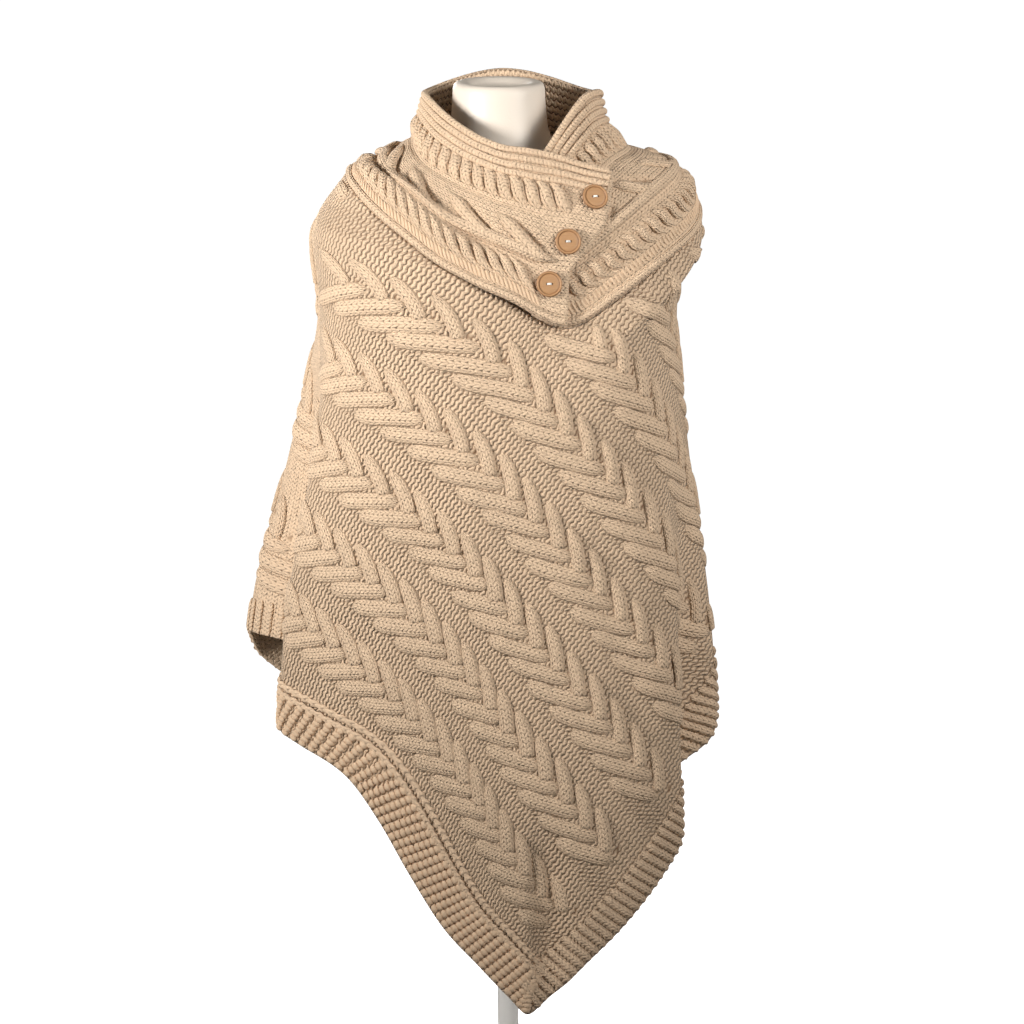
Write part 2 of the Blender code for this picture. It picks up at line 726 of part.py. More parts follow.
def draw_cord(outer, ribs):
    """The narrow cord between the garter band and the cable field: its middle line, foot lines and crest."""
    tip = min(range(len(ribs)), key=lambda i: ribs[i][0][1])
    rows = ribs[3 : tip - 4 : 2]
    middle = [top + (top - foot) / HEM_BAND * CORD_HALF_WIDTH for foot, top, _ in rows]
    inward = [(top - foot) / HEM_BAND * CORD_HALF_WIDTH for foot, top, _ in rows]
    outer.add([m - w for m, w in zip(middle, inward)], [0.0] * len(rows))
    outer.add(middle, [CORD_RISE] * len(rows))
    outer.add([m + w for m, w in zip(middle, inward)], [0.0] * len(rows))
    return np.array(middle)


def strip_height(points, middle):
    """Height of a narrow raised cord along a middle line."""
    far = np.full(len(points), np.inf)
    for a, b in zip(middle[:-1], middle[1:]):
        way = b - a
        t = np.clip((points - a) @ way / (way @ way), 0.0, 1.0)
        far = np.minimum(far, np.linalg.norm(points - a - t[:, None] * way, axis=1))
    return CORD_RISE * np.clip(1 - far / CORD_HALF_WIDTH, 0.0, 1.0)


def draw_fold_lines(flat, turn, left, right, hem_up, yoke_up, outer, inner):
    """Upright lines down the hanging folds, so that both faces of the wall bend with them."""
    for _, centre, half, top, full, depth in FOLDS:
        shares = (-1, -.75, -.5, -.25, 0, .25, .5, .75, 1) if depth > 0.03 else (-1, -.6, -.25, .25, .6, 1)
        if depth < 0.01:
            shares = (-1, 0, 1)
        for share in shares:
            angle = float(off_angle(centre + share * half, turn))
            across = float(flat.across(angle))
            if not left + 0.004 < across < right - 0.004:
                continue
            high = min(flat.up(angle, level_near(angle + turn, top)), yoke_up(across) - 0.012)
            low = hem_up(across) + 0.004
            if high - low < 0.03:
                continue
            count = max(2, round((high - low) / 0.045))
            line = [(across, low + (high - low) * i / count) for i in range(count + 1)]
            outer.add(line, [0.0] * len(line))
            inner.add(line, [0.0] * len(line))


def level_near(angle, height):
    """The level where the cloth passes a height at an angle."""
    levels = np.linspace(3.0, LAST_LEVEL, 121)
    _, heights = smooth_ring(np.full(levels.shape, angle), levels)
    return float(np.interp(-height, -heights, levels))


def draw_plain_grid(left, right, hem_up, yoke_up, inner):
    """Loose points that let the plain inner face follow the body."""
    pitch = PANEL_GRID
    for across in np.arange(left + pitch / 2, right - pitch / 3, pitch):
        low, high = hem_up(across) + 0.014, yoke_up(across) - 0.010
        count = max(1, round((high - low) / pitch))
        for i in range(count + 1):
            inner.add([(across, low + (high - low) * i / count)], [0.0])


# ---------------------------------------------------------------- the cowl and yoke


class Strip:
    """The cowl strip laid flat: s runs along it from the under end, w from its rim to its lower edge."""

    STEP = 1.0
    SHARES = np.linspace(0.0, 1.0, 41)
    DEEPEST = 5.0            # a level below all of the strip

    def __init__(self):
        last = max(angle for _, angle in FLAP_ENDS)
        self.angles = np.arange(UNDER_END, last + 8.0, self.STEP)
        self.end_length = None
        self.levels = np.array([self._levels(a) for a in self.angles])
        middle = self.levels[:, len(self.SHARES) // 2]
        radius, _ = smooth_ring(self.angles, middle)
        step = (radius[1:] + radius[:-1]) / 2 * math.radians(self.STEP)
        self.arcs = np.concatenate([[0.0], np.cumsum(step)])

    def _levels(self, angle):
        """Levels at even shares of the way from the rim to the yoke's lower edge.

        Past the flap's lower corner the strip keeps the length it has there, so its bands follow the rim.
        """
        levels = np.linspace(float(through(RIM_LEVEL, angle)), self.DEEPEST, 161)
        points = bare_point(np.full(levels.shape, float(angle)), levels)
        steps = np.linalg.norm(np.diff(points, axis=0), axis=1)
        lengths = np.concatenate([[0.0], np.cumsum(steps)])
        if angle <= FLAP_ENDS[-1][1]:
            self.end_length = float(np.interp(yoke_level(angle), levels, lengths))
        return np.interp(self.SHARES * self.end_length, lengths, levels)

    def along(self, angle):
        return float(np.interp(angle, self.angles, self.arcs))

    def place(self, flat, out):
        flat = np.asarray(flat, float)
        angle = np.interp(flat[:, 0], self.arcs, self.angles)
        at = np.clip((angle - self.angles[0]) / self.STEP, 0, len(self.angles) - 1.001)
        i = at.astype(int)
        f = at - i
        share = np.clip(flat[:, 1] / STRIP_WIDTH, 0.0, 1.0)
        level = np.array([
            np.interp(x, self.SHARES, self.levels[j] * (1 - g) + self.levels[j + 1] * g)
            for x, j, g in zip(share, i, f)
        ])
        low, high = LIFT_ANGLES
        lift = FLAP_LIFT * smooth_step((angle - low) / (high - low))
        return cloth_point(angle, level, np.asarray(out) + lift)

    def flap_end(self, w):
        return self.along(float(through(FLAP_ENDS, w / STRIP_WIDTH)))


def strip_outline(strip):
    """The strip's flat outline, anticlockwise with w upwards: rim, flap end, lower edge, under end."""
    rim_step = 7.5
    end = strip.flap_end(0.0)
    rim = [strip.along(UNDER_END + k * rim_step) for k in range(90)]
    rim = [s for s in rim if s < end - 0.006] + [end]
    points = [(s, 0.0) for s in rim]
    points += [(strip.flap_end(w), w) for w in np.linspace(0.0, STRIP_WIDTH, 9)[1:-1]]
    last = strip.flap_end(STRIP_WIDTH)
    lower = [strip.along(UNDER_END + k * EDGE_STEP) for k in range(90)]
    lower = [s for s in lower if s < last - 0.001] + [last]
    points += [(s, STRIP_WIDTH) for s in reversed(lower)]
    points += [(0.0, w) for w in np.linspace(STRIP_WIDTH, 0.0, 6)[1:-1]]
    return points


def draw_line(drawing, start, end, w, half_width, rise):
    """A straight raised cord along the strip."""
    count = max(2, round((end - start) / LINE_STEP))
    stops = [start + (end - start) * i / count for i in range(count + 1)]
    drawing.add([(s, w - half_width) for s in stops], [0.0] * len(stops))
    drawing.add([(s, w) for s in stops], [rise] * len(stops))
    drawing.add([(s, w + half_width) for s in stops], [0.0] * len(stops))


def draw_rope(drawing, start, end, w, half_width, slant):
    """A twisted cable: one leaning strand after another."""
    count = int((end - start) / ROPE_PITCH)
    lean = slant / 2
    for i in range(count):
        s = start + (i + 0.5) * ROPE_PITCH
        a = Vector((s - lean, w - half_width))
        b = Vector((s + lean, w + half_width))
        way = (b - a).normalized()
        out = Vector((-way.y, way.x)) * STRAND_HALF_WIDTH
        near, far = a + way * 0.25 * (b - a).length, a + way * 0.75 * (b - a).length
        drawing.add([a, near - out, far - out, b, far + out, near + out], [0.0] * 6, closed=True)
        drawing.add([near, far], [STRIP_RISE] * 2)


def draw_plait(drawing, start, end):
    """A swollen band with a strand along its foot, and strands that fall across it one after another."""
    count = round((end - start) / LINE_STEP)
    stops = [start + (end - start) * i / count for i in range(count + 1)]
    shelf, step = PLAIT_TOP + PLAIT_SLOPE, PLAIT_CORD - PLAIT_CORD_HALF_WIDTH
    foot = PLAIT_CORD + PLAIT_CORD_HALF_WIDTH
    rows = (
        (PLAIT_TOP, 0.0), (shelf, PLAIT_SWELL), (step, PLAIT_SWELL), (PLAIT_CORD, STRIP_RISE), (foot, 0.0))
    for w, rise in rows:
        drawing.add([(s, w) for s in stops], [rise] * len(stops))
    drawing.add([(end + PLAIT_SLOPE, w) for w, _ in rows], [0.0] * len(rows))
    first = end - FALL_RUN - PLAIT_SLOPE
    while first > start + PLAIT_SLOPE:
        a = Vector((first, shelf + FALL_MARGIN))
        b = Vector((first + FALL_RUN, step - FALL_MARGIN))
        way = (b - a).normalized()
        out = Vector((-way.y, way.x)) * FALL_HALF_WIDTH
        near, far = a.lerp(b, 0.3), a.lerp(b, 0.7)
        drawing.add([a, near - out, far - out, b, far + out, near + out], [PLAIT_SWELL] * 6, closed=True)
        drawing.add([near, far], [PLAIT_SWELL + FALL_RISE] * 2)
        first -= FALL_PITCH


def collar(finish):
    strip = Strip()
    outline = strip_outline(strip)
    outer, inner = Drawing(), Drawing()
    start = STRIP_START

    def stop(w):
        return strip.flap_end(w) - BUTTON_BAND

    for w in RIM_RIBS:
        draw_line(outer, start, strip.flap_end(w) - LINE_END, w, RIM_RIB_HALF_WIDTH, RIM_RIB_RISE)
    for w, half_width, slant in ROPES:
        draw_rope(outer, start, stop(w), w, half_width, slant)
    draw_plait(outer, start, stop((PLAIT_TOP + PLAIT_CORD) / 2) - 2 * PLAIT_SLOPE)
    cord_end = strip.flap_end(EDGE_CORD) - LINE_END
    draw_line(outer, start, cord_end, EDGE_CORD, EDGE_CORD_HALF_WIDTH, CORD_RISE)
    for w in np.linspace(STRIP_MARGIN, STRIP_WIDTH - STRIP_MARGIN, 6):
        for s in np.arange(STRIP_MARGIN, strip.flap_end(w) - STRIP_MARGIN, STRIP_GRID):
            inner.add([(s, w)], [0.0])

    def height_at(points):
        return np.zeros(len(points))

    zeros = [0.0] * len(outline)
    return wall("collar", outline, zeros, outer, inner, strip.place, height_at, finish), strip


# ---------------------------------------------------------------- buttons


def turned(name, profile, sides, finish):
    """A closed solid turned round Z from an (r, z) profile, with flat caps on its first and last rings."""
    points, faces = [], []
    for radius, height in profile:
        for i in range(sides):
            a = 2 * math.pi * i / sides
            points.append((radius * math.cos(a), radius * math.sin(a), height))
    last = (len(profile) - 1) * sides
    for k in range(len(profile) - 1):
        for i in range(sides):
            j = (i + 1) % sides
            faces.append((k * sides + i, (k + 1) * sides + i, (k + 1) * sides + j, k * sides + j))
    faces.append(tuple(range(sides)))
    faces.append(tuple(last + i for i in reversed(range(sides))))
    thing = solid(name, points, faces, finish)
    face_out(thing)
    return thing


def button(name, share, inset, strip, finish):
    """A turned two-hole button that lies on the flap."""
    half = BUTTON_THICKNESS / 2
    rim = BUTTON_RADIUS - BUTTON_RIM
    profile = (
        (rim - 0.0008, half - BUTTON_RIM_RISE),
        (rim, half),
        (BUTTON_RADIUS - 0.0010, half),
        (BUTTON_RADIUS, half - 0.0012),
        (BUTTON_RADIUS - 0.0004, -half * 0.5),
        (BUTTON_RADIUS - 0.0030, -half),
    )
    thing = turned(name, profile, BUTTON_SIDES, finish)
    cutters = []
    for side in (-1, 1):
        bpy.ops.mesh.primitive_cylinder_add(
            vertices=8, radius=HOLE_RADIUS, depth=BUTTON_THICKNESS * 3, location=(side * HOLE_OFFSET, 0, 0)
        )
        cutter = bpy.context.object
        cutter.name = f"{name}_hole_cutter"
        cutter.hide_render = True
        cutter.display_type = "WIRE"
        cutters.append(cutter)
        cut = thing.modifiers.new("hole", "BOOLEAN")
        cut.operation = "DIFFERENCE"
        cut.object = cutter
    bpy.context.view_layer.update()
    mesh = bpy.data.meshes.new_from_object(thing.evaluated_get(bpy.context.evaluated_depsgraph_get()))
    thing.modifiers.clear()
    thing.data = mesh
    for cutter in cutters:
        bpy.data.objects.remove(cutter, do_unlink=True)
    middle, axis = button_place(share, inset, strip)
    across = Vector((0, 0, 1)).cross(axis).normalized()
    turn = Matrix((across, axis.cross(across), axis)).transposed().to_4x4()
    thing.matrix_world = Matrix.Translation(middle) @ turn
    return thing


def button_place(share, inset, strip):
    """Middle and axis of a button on the flap."""
    w = share * STRIP_WIDTH
    s = strip.flap_end(w) - inset
    spread = 0.008
    near = [(s, w), (s - spread, w), (s + spread, w), (s, w - spread), (s, w + spread)]
    around = strip.place(near, np.zeros(len(near)))
    along, down = Vector(around[2] - around[1]), Vector(around[4] - around[3])
    axis = down.cross(along).normalized()
    rise = BUTTON_LIFT + BUTTON_THICKNESS / 2 - GROUND_DEPTH
    return Vector(around[0]) + axis * rise, axis


# ---------------------------------------------------------------- dress form, pole and foot


def form_row(name):
    row = next(r for r in FORM if r[0] == name)
    return dict(zip(FORM_COLUMNS, row[1:]))


def section(row, tilt=0.0, grow=0.0, lower=0.0):
    """One ring of the dress form."""
    ring = []
    for i in range(FORM_SIDES):
        a = 2 * math.pi * i / FORM_SIDES
        side, ahead = math.sin(a), math.cos(a)
        depth = (row["front"] if ahead > 0 else row["back"]) + grow
        width = row["half_width"] + grow
        power = row["square"]
        radius = (abs(side / width) ** power + abs(ahead / depth) ** power) ** (-1 / power)
        y = -radius * ahead
        ring.append((row["middle"] + radius * side, y, row["z"] - lower + tilt * y))
    return ring


def dress_form(finish):
    """A smooth limbless torso with a dished cap on its neck and a flat, closed underside."""
    cap = form_row("cap")
    rings = [
        section(cap, CAP_TILT, CAP_DISH_RADIUS * CAP_DISH_FLOOR - cap["half_width"], CAP_DISH_DEPTH),
        section(cap, CAP_TILT, CAP_DISH_RADIUS - cap["half_width"], 0.0),
        section(cap, CAP_TILT, -2 * CAP_EDGE, -CAP_CROWN),
        section(cap, CAP_TILT, -CAP_EDGE * 0.3, CAP_EDGE * 0.7),
    ]
    for row in FORM[1:]:
        values = dict(zip(FORM_COLUMNS, row[1:]))
        tilt = CAP_TILT * max(0.0, (values["z"] - TILT_FROM) / (cap["z"] - TILT_FROM))
        rings.append(section(values, tilt))
    points = [p for ring in rings for p in ring]
    faces = []
    n = FORM_SIDES
    for k in range(len(rings) - 1):
        for i in range(n):
            j = (i + 1) % n
            faces.append((k * n + i, (k + 1) * n + i, (k + 1) * n + j, k * n + j))
    top, bottom = len(points), len(points) + 1
    points.append((cap["middle"], 0.0, cap["z"] - CAP_DISH_DEPTH))
    points.append((0.0, 0.0, FORM[-1][4]))
    last = (len(rings) - 1) * n
    for i in range(n):
        j = (i + 1) % n
        faces.append((top, i, j))
        faces.append((bottom, last + j, last + i))
    thing = solid("dress_form", points, faces, finish)
    face_out(thing)
    return thing


def stand(finish):
    """The pole and the weighted round foot."""
    underside = FORM[-1][4]
    foot = turned(
        "foot",
        (
            (FOOT_HUB_RADIUS - FOOT_HUB_BEVEL, FOOT_HUB_HEIGHT),
            (FOOT_HUB_RADIUS, FOOT_HUB_HEIGHT - FOOT_HUB_BEVEL),
            (FOOT_HUB_RADIUS + FOOT_HUB_FLARE, FOOT_HEIGHT + FOOT_HUB_FLARE / 2),
            (FOOT_RADIUS - FOOT_EDGE, FOOT_HEIGHT * 0.6),
            (FOOT_RADIUS - FOOT_EDGE / 6, FOOT_HEIGHT * 0.4),
            (FOOT_RADIUS, FOOT_HEIGHT * 0.2),
            (FOOT_RADIUS, 0.0),
        ),
        FOOT_SIDES,
        finish,
    )
    low, high = FOOT_HUB_HEIGHT + PART_GAP, underside - PART_GAP
    pole = turned("pole", ((POLE_RADIUS, high), (POLE_RADIUS, low)), POLE_SIDES, finish)
    return foot, pole


# ---------------------------------------------------------------- build


def build():
    clear_scene()
    knit = material("knit_oatmeal", (0.62, 0.48, 0.34), 0.95)
    wood = material("button_wood", (0.52, 0.32, 0.17), 0.55)
    body = material("form_cream", (0.86, 0.83, 0.77), 0.6)
    metal = material("stand_white", (0.85, 0.84, 0.82), 0.4)
    panel("front_panel", 0, FRONT_HEM, knit)
    panel("back_panel", 180, BACK_HEM, knit)
    _, strip = collar(knit)
    for name, share, inset in BUTTONS:
        button(name, share, inset, strip, wood)
    dress_form(body)
    stand(metal)


build()
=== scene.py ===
# %% [markdown]
# # A cable-knit poncho sweater on a dress form
#
# The real garment is knitted from thick oatmeal wool. Two panels, alike but turned half round, hang from a
# deep cabled strip that stands up as a cowl, laps over itself and closes with three wooden buttons. A
# smooth dress form carries it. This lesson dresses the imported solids: each piece of cloth becomes a thin
# shell with its cables laid on it as plump strands, and the single stitches come last, in the materials.

import math

import bmesh
import bpy
import numpy as np
from mathutils import Matrix, Vector


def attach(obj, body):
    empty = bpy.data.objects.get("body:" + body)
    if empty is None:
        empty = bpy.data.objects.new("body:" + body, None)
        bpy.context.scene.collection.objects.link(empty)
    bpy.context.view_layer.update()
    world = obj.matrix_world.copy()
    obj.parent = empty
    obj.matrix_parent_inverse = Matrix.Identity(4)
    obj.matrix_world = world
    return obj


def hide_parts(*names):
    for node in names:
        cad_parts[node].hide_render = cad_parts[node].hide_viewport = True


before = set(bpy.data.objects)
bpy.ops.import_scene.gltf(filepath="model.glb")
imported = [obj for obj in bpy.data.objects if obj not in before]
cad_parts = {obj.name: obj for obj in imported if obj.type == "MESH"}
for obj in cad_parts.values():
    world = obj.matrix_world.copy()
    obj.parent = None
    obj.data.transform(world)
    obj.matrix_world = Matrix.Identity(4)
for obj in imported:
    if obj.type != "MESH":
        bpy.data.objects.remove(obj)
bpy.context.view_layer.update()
print("solids:", sorted(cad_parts))

# %% [markdown]
# ## The camera
#
# The camera stands a long way off and looks slightly down, so that the outline stays close to its true
# proportions. It could be placed by eye; three sizes say it better: how high it looks from, how far away it
# is, and how much width it sees at the garment.

# %% Camera
CAMERA_ELEVATION = math.radians(8)
CAMERA_DISTANCE = 4.8
SEEN_WIDTH = 1.075
LOOK_AT = (0.0042, 0.0, 0.595)

eye = bpy.data.cameras.new("studio_camera")
eye.sensor_width = 36
eye.lens = 36 * CAMERA_DISTANCE / SEEN_WIDTH
camera = bpy.data.objects.new("studio_camera", eye)
bpy.context.scene.collection.objects.link(camera)
camera.location = (
    LOOK_AT[0],
    -CAMERA_DISTANCE * math.cos(CAMERA_ELEVATION),
    LOOK_AT[2] + CAMERA_DISTANCE * math.sin(CAMERA_ELEVATION),
)
camera.rotation_euler = (math.pi / 2 - CAMERA_ELEVATION, 0, 0)
bpy.context.scene.camera = camera
print("lens", round(eye.lens, 1), "mm")

# %% [markdown]
# ## The draped surface
#
# Cloth on a body could be simulated, but a worn garment has to keep one exact pose here. So the drape is a
# function: level lines run round the body from the cowl's rim down to below the hem, each with its own half
# sizes and heights, and hanging folds press troughs into them. Any point of the cloth is then an angle
# round the body, a level, and a distance outside the outline.

# %% Level lines and folds
WALL = 0.0045          # plain knitted cloth
GROUND_DEPTH = 0.002   # how far its ground lies inside the garment's outline
CORD_RISE = 0.0022     # the edge cords' height
SEAM_GAP = 0.0007      # between two pieces that are sewn together
LEVEL_COLUMNS = ("left", "right", "front", "back", "z_left", "z_right", "z_front", "z_back", "square", "turn")
LEVELS = (
    ("rim", .088, .094, .080, .074, 1.036, 1.049, .996, 1.057, 2.1, 0),
    ("foot", .106, .114, .100, .086, .986, .990, .958, 1.004, 2.1, 5),
    ("mid", .150, .178, .122, .106, .968, .960, .898, .950, 2.1, 12),
    ("yoke", .174, .204, .141, .124, .957, .926, .806, .893, 2.2, 28),
    ("arm", .205, .191, .148, .132, .896, .880, .768, .840, 2.35, 16),
    ("chest", .201, .178, .154, .138, .800, .800, .730, .760, 2.4, 0),
    ("waist", .235, .193, .160, .146, .650, .650, .640, .640, 2.4, 0),
    ("side", .274, .214, .165, .154, .500, .500, .500, .500, 2.4, 0),
    ("hip", .286, .224, .170, .160, .340, .340, .340, .340, 2.4, 0),
    ("low", .290, .228, .174, .164, .060, .060, .060, .060, 2.4, 0),
)
LAST_LEVEL = len(LEVELS) - 1
LEVEL_VALUES = np.array([row[1:] for row in LEVELS], float)
FOLDS = (
    # name, angle, half width, top, height where it is full, depth
    ("front left seam", -80, 16, .82, .55, .060),
    ("back right seam", 100, 16, .82, .55, .046),
    ("front right", 69, 13, .72, .34, .042),
    ("back left", -112, 11, .72, .42, .024),
    ("front soft", 14, 9, .34, .20, .007),
    ("back soft", 200, 9, .36, .20, .008),
)
print("level lines:", len(LEVELS), "and hanging folds:", len(FOLDS))


# %% Points of the drape
def smooth_step(x):
    x = np.clip(x, 0.0, 1.0)
    return x * x * (3.0 - 2.0 * x)


def hermite(f, here, after, enter, leave):
    """A smooth run from one value to the next, which enters and leaves at the given rates."""
    return (
        here * (1 + 2 * f) * (1 - f) ** 2
        + after * f * f * (3 - 2 * f)
        + enter * f * (1 - f) ** 2
        - leave * f * f * (1 - f)
    )


def at_level(column, level):
    values = LEVEL_VALUES[:, LEVEL_COLUMNS.index(column)]
    level = np.clip(level, 0.0, LAST_LEVEL - 1e-9)
    i = np.floor(level).astype(int)
    f = level - i
    here, after = values[i], values[i + 1]
    enter = np.where(i > 0, (after - values[np.maximum(i - 1, 0)]) / 2, after - here)
    leave = np.where(i < LAST_LEVEL - 1, (values[np.minimum(i + 2, LAST_LEVEL)] - here) / 2, after - here)
    return hermite(f, here, after, enter, leave)


def smooth_ring(angle, level):
    """Distance from the axis and height of the cloth without its folds."""
    a = np.radians(angle)
    side, ahead = np.sin(a), np.cos(a)
    half_width = np.where(side < 0, at_level("left", level), at_level("right", level))
    half_depth = np.where(ahead > 0, at_level("front", level), at_level("back", level))
    power = at_level("square", level)
    radius = (np.abs(side / half_width) ** power + np.abs(ahead / half_depth) ** power) ** (-1 / power)
    turned = a - np.radians(at_level("turn", level))
    side, ahead = np.sin(turned), np.cos(turned)
    at_side = np.where(side < 0, at_level("z_left", level), at_level("z_right", level))
    at_end = np.where(ahead > 0, at_level("z_front", level), at_level("z_back", level))
    return radius, at_side * side**2 + at_end * ahead**2


def off_angle(angle, centre):
    return (np.asarray(angle) - centre + 180.0) % 360.0 - 180.0


def bare_point(angle, level):
    radius, height = smooth_ring(angle, level)
    for _, centre, half, top, full, depth in FOLDS:
        u = np.clip(off_angle(angle, centre) / half, -1.0, 1.0)
        radius = radius - depth * smooth_step((top - height) / (top - full)) * (1 + np.cos(math.pi * u)) / 2
    a = np.radians(angle)
    return np.stack([radius * np.sin(a), -radius * np.cos(a), height], -1)


def outward(angle, level):
    """The cloth's outward direction."""
    low = np.clip(level - 0.01, 0.0, LAST_LEVEL)
    high = np.clip(level + 0.01, 0.0, LAST_LEVEL)
    round_it = bare_point(angle + 0.2, level) - bare_point(angle - 0.2, level)
    down_it = bare_point(angle, high) - bare_point(angle, low)
    normal = np.cross(down_it, round_it)
    return normal / np.linalg.norm(normal, axis=-1, keepdims=True)


def cloth_point(angle, level, out):
    return bare_point(angle, level) + outward(angle, level) * np.asarray(out)[..., None]


def through(rows, x):
    """A smooth curve through (x, value) rows that never overshoots them."""
    xs = np.array([r[0] for r in rows], float)
    ys = np.array([r[1] for r in rows], float)
    step = np.diff(xs)
    rate = np.diff(ys) / step
    slope = np.concatenate([[rate[0]], (rate[1:] + rate[:-1]) / 2, [rate[-1]]])
    slope[np.concatenate([[False], rate[1:] * rate[:-1] <= 0, [False]])] = 0.0
    i = np.clip(np.searchsorted(xs, x) - 1, 0, len(xs) - 2)
    f = np.clip((x - xs[i]) / step[i], 0.0, 1.0)
    return hermite(f, ys[i], ys[i + 1], step[i] * slope[i], step[i] * slope[i + 1])


print("cloth at the waist's front:", np.round(cloth_point(np.array(0.0), np.array(6.0), 0.0), 3))

# %% [markdown]
# ## A panel laid flat
#
# A knitter thinks of a panel as it lies on the table. The class below unrolls one panel: `across` is the
# distance round from its middle and `up` the height along the cloth. Its edges are the hem, a curve of
# heights, and the lower edge of the yoke. A second pair of values, along the wales and over them, follows
# the knitting itself, which runs slantwise.

# %% Hem and yoke lines
NOMINAL_LEVEL = 5.5                # the level whose girth measures the cloth across
FIRST_SEAM, LAST_SEAM = -80, 100   # degrees
ANGLE_STEP, LEVEL_STEP = 2.0, 0.05
YOKE_EDGE = (
    # angle, level
    (-180, 3.05), (-150, 3.0), (-120, 2.95), (-98, 2.85), (-82, 2.80), (-68, 3.22), (-55, 3.50), (-42, 3.60),
    (-28, 3.58), (-14, 3.40), (4, 3.10), (24, 3.06), (40, 2.84), (62, 2.74), (95, 2.90), (130, 3.0),
    (180, 3.05),
)
FRONT_HEM = (
    # angle from the panel's middle, height
    (-80, .404), (-72, .392), (-60, .370), (-48, .340), (-40, .297), (-32, .245), (-22, .190), (-10, .148),
    (0, .116), (7, .097), (16, .118), (27, .152), (36, .180), (45, .213), (54, .250), (63, .290), (71, .330),
    (80, .366), (90, .424), (100, .452),
)
BACK_HEM = (
    (-80, .410), (-70, .384), (-60, .362), (-48, .325), (-38, .280), (-28, .228), (-16, .172), (-4, .124),
    (4, .102), (14, .120), (25, .158), (36, .206), (48, .266), (58, .322), (68, .386), (78, .438), (86, .466),
    (94, .462), (100, .456),
)


def yoke_level(angle):
    return through(YOKE_EDGE, off_angle(angle, 0.0))


print("points of the hems:", len(FRONT_HEM), "and", len(BACK_HEM))


# %% The flat panel
class Panel:
    """One panel laid flat, with its hem and its upper edge."""

    def __init__(self, name, turn, hem_rows, creases):
        self.name, self.turn, self.creases = name, turn, creases
        self.angles = np.arange(FIRST_SEAM - 4, LAST_SEAM + 4.1, ANGLE_STEP)
        radius, _ = smooth_ring(self.angles + turn, np.full(self.angles.shape, NOMINAL_LEVEL))
        arc = np.concatenate([[0.0], np.cumsum((radius[1:] + radius[:-1]) / 2 * math.radians(ANGLE_STEP))])
        self.arcs = arc - np.interp(0.0, self.angles, arc)
        self.levels = np.arange(2.4, LAST_LEVEL + 1e-6, LEVEL_STEP)
        grid_angle, grid_level = np.meshgrid(self.angles + turn, self.levels, indexing="ij")
        radius, height = smooth_ring(grid_angle, grid_level)
        a = np.radians(grid_angle)
        points = np.stack([radius * np.sin(a), -radius * np.cos(a), height], -1)
        steps = np.linalg.norm(np.diff(points, axis=1), axis=-1)
        self.ups = np.zeros(grid_angle.shape)
        self.ups[:, :-1] = np.cumsum(steps[:, ::-1], axis=1)[:, ::-1]
        self.ups += LEVELS[-1][7]
        self.left = float(np.interp(FIRST_SEAM, self.angles, self.arcs)) + SEAM_GAP / 2
        self.right = float(np.interp(LAST_SEAM, self.angles, self.arcs)) - SEAM_GAP / 2
        self.table = np.linspace(self.left, self.right, 401)
        angle = self.angle(self.table)
        height = through(hem_rows, angle)
        levels = np.linspace(6.0, LAST_LEVEL, 121)
        hem_level = np.interp(-height, -at_level("z_front", levels), levels)
        top_level = yoke_level(angle + turn)
        self.hem_table = np.array([self.up(a, v) for a, v in zip(angle, hem_level)])
        self.top_table = np.array([self.up(a, v) for a, v in zip(angle, top_level)]) - SEAM_GAP
        self.tip = int(np.argmin(self.hem_table))
        steps = np.hypot(np.diff(self.table), np.diff(self.hem_table))
        self.hem_length = np.concatenate([[0.0], np.cumsum(steps)])

    def angle(self, across):
        return np.interp(across, self.arcs, self.angles)

    def column(self, angle):
        at = min(max((angle - self.angles[0]) / ANGLE_STEP, 0), len(self.angles) - 1.001)
        i = int(at)
        return self.ups[i] * (1 - at + i) + self.ups[i + 1] * (at - i)

    def up(self, angle, level):
        return float(np.interp(level, self.levels, self.column(angle)))

    def hem(self, across):
        return np.interp(across, self.table, self.hem_table)

    def top(self, across):
        return np.interp(across, self.table, self.top_table)

    def level(self, across, up):
        across, up = np.broadcast_arrays(np.asarray(across, float), np.asarray(up, float))
        at = np.clip((self.angle(across) - self.angles[0]) / ANGLE_STEP, 0, len(self.angles) - 1.001)
        i = at.astype(int)
        f = at - i
        found = np.empty(across.shape)
        for k in np.ndindex(across.shape):
            column = self.ups[i[k]] * (1 - f[k]) + self.ups[i[k] + 1] * f[k]
            found[k] = np.interp(-up[k], -column, self.levels)
        return found

    def relief(self, flat):
        """Soft troughs (and ridges) that the cloth's own weight draws in it."""
        total = np.zeros(flat.shape[:-1])
        for x0, y0, x1, y1, half, depth in self.creases:
            a, way = np.array([x0, y0]), np.array([x1 - x0, y1 - y0])
            t = ((flat - a) @ way) / (way @ way)
            far = np.linalg.norm(flat - a - np.clip(t, 0, 1)[..., None] * way, axis=-1)
            fade = smooth_step(np.clip(t, 0, 1) * 4) * smooth_step((1 - np.clip(t, 0, 1)) * 4)
            total = total - depth * fade * np.exp(-((far / half) ** 2))
        return total

    def place(self, flat, out):
        """Points of the cloth from flat places, and how they lie: point and outward direction."""
        flat = np.asarray(flat, float)
        level = self.level(flat[..., 0], flat[..., 1])
        angle = self.angle(flat[..., 0]) + self.turn
        normal = outward(angle, level)
        return bare_point(angle, level) + normal * (self.relief(flat) + out)[..., None], normal


# %% [markdown]
# ## Creases, and both panels
#
# Worn cloth never hangs quite smooth. A few soft troughs and ridges break up each panel's large areas. They
# could be sculpted, but a line on the flat panel, with a width and a depth, stays easy to move. Both panels
# come from the one class, and the back one is turned half round.

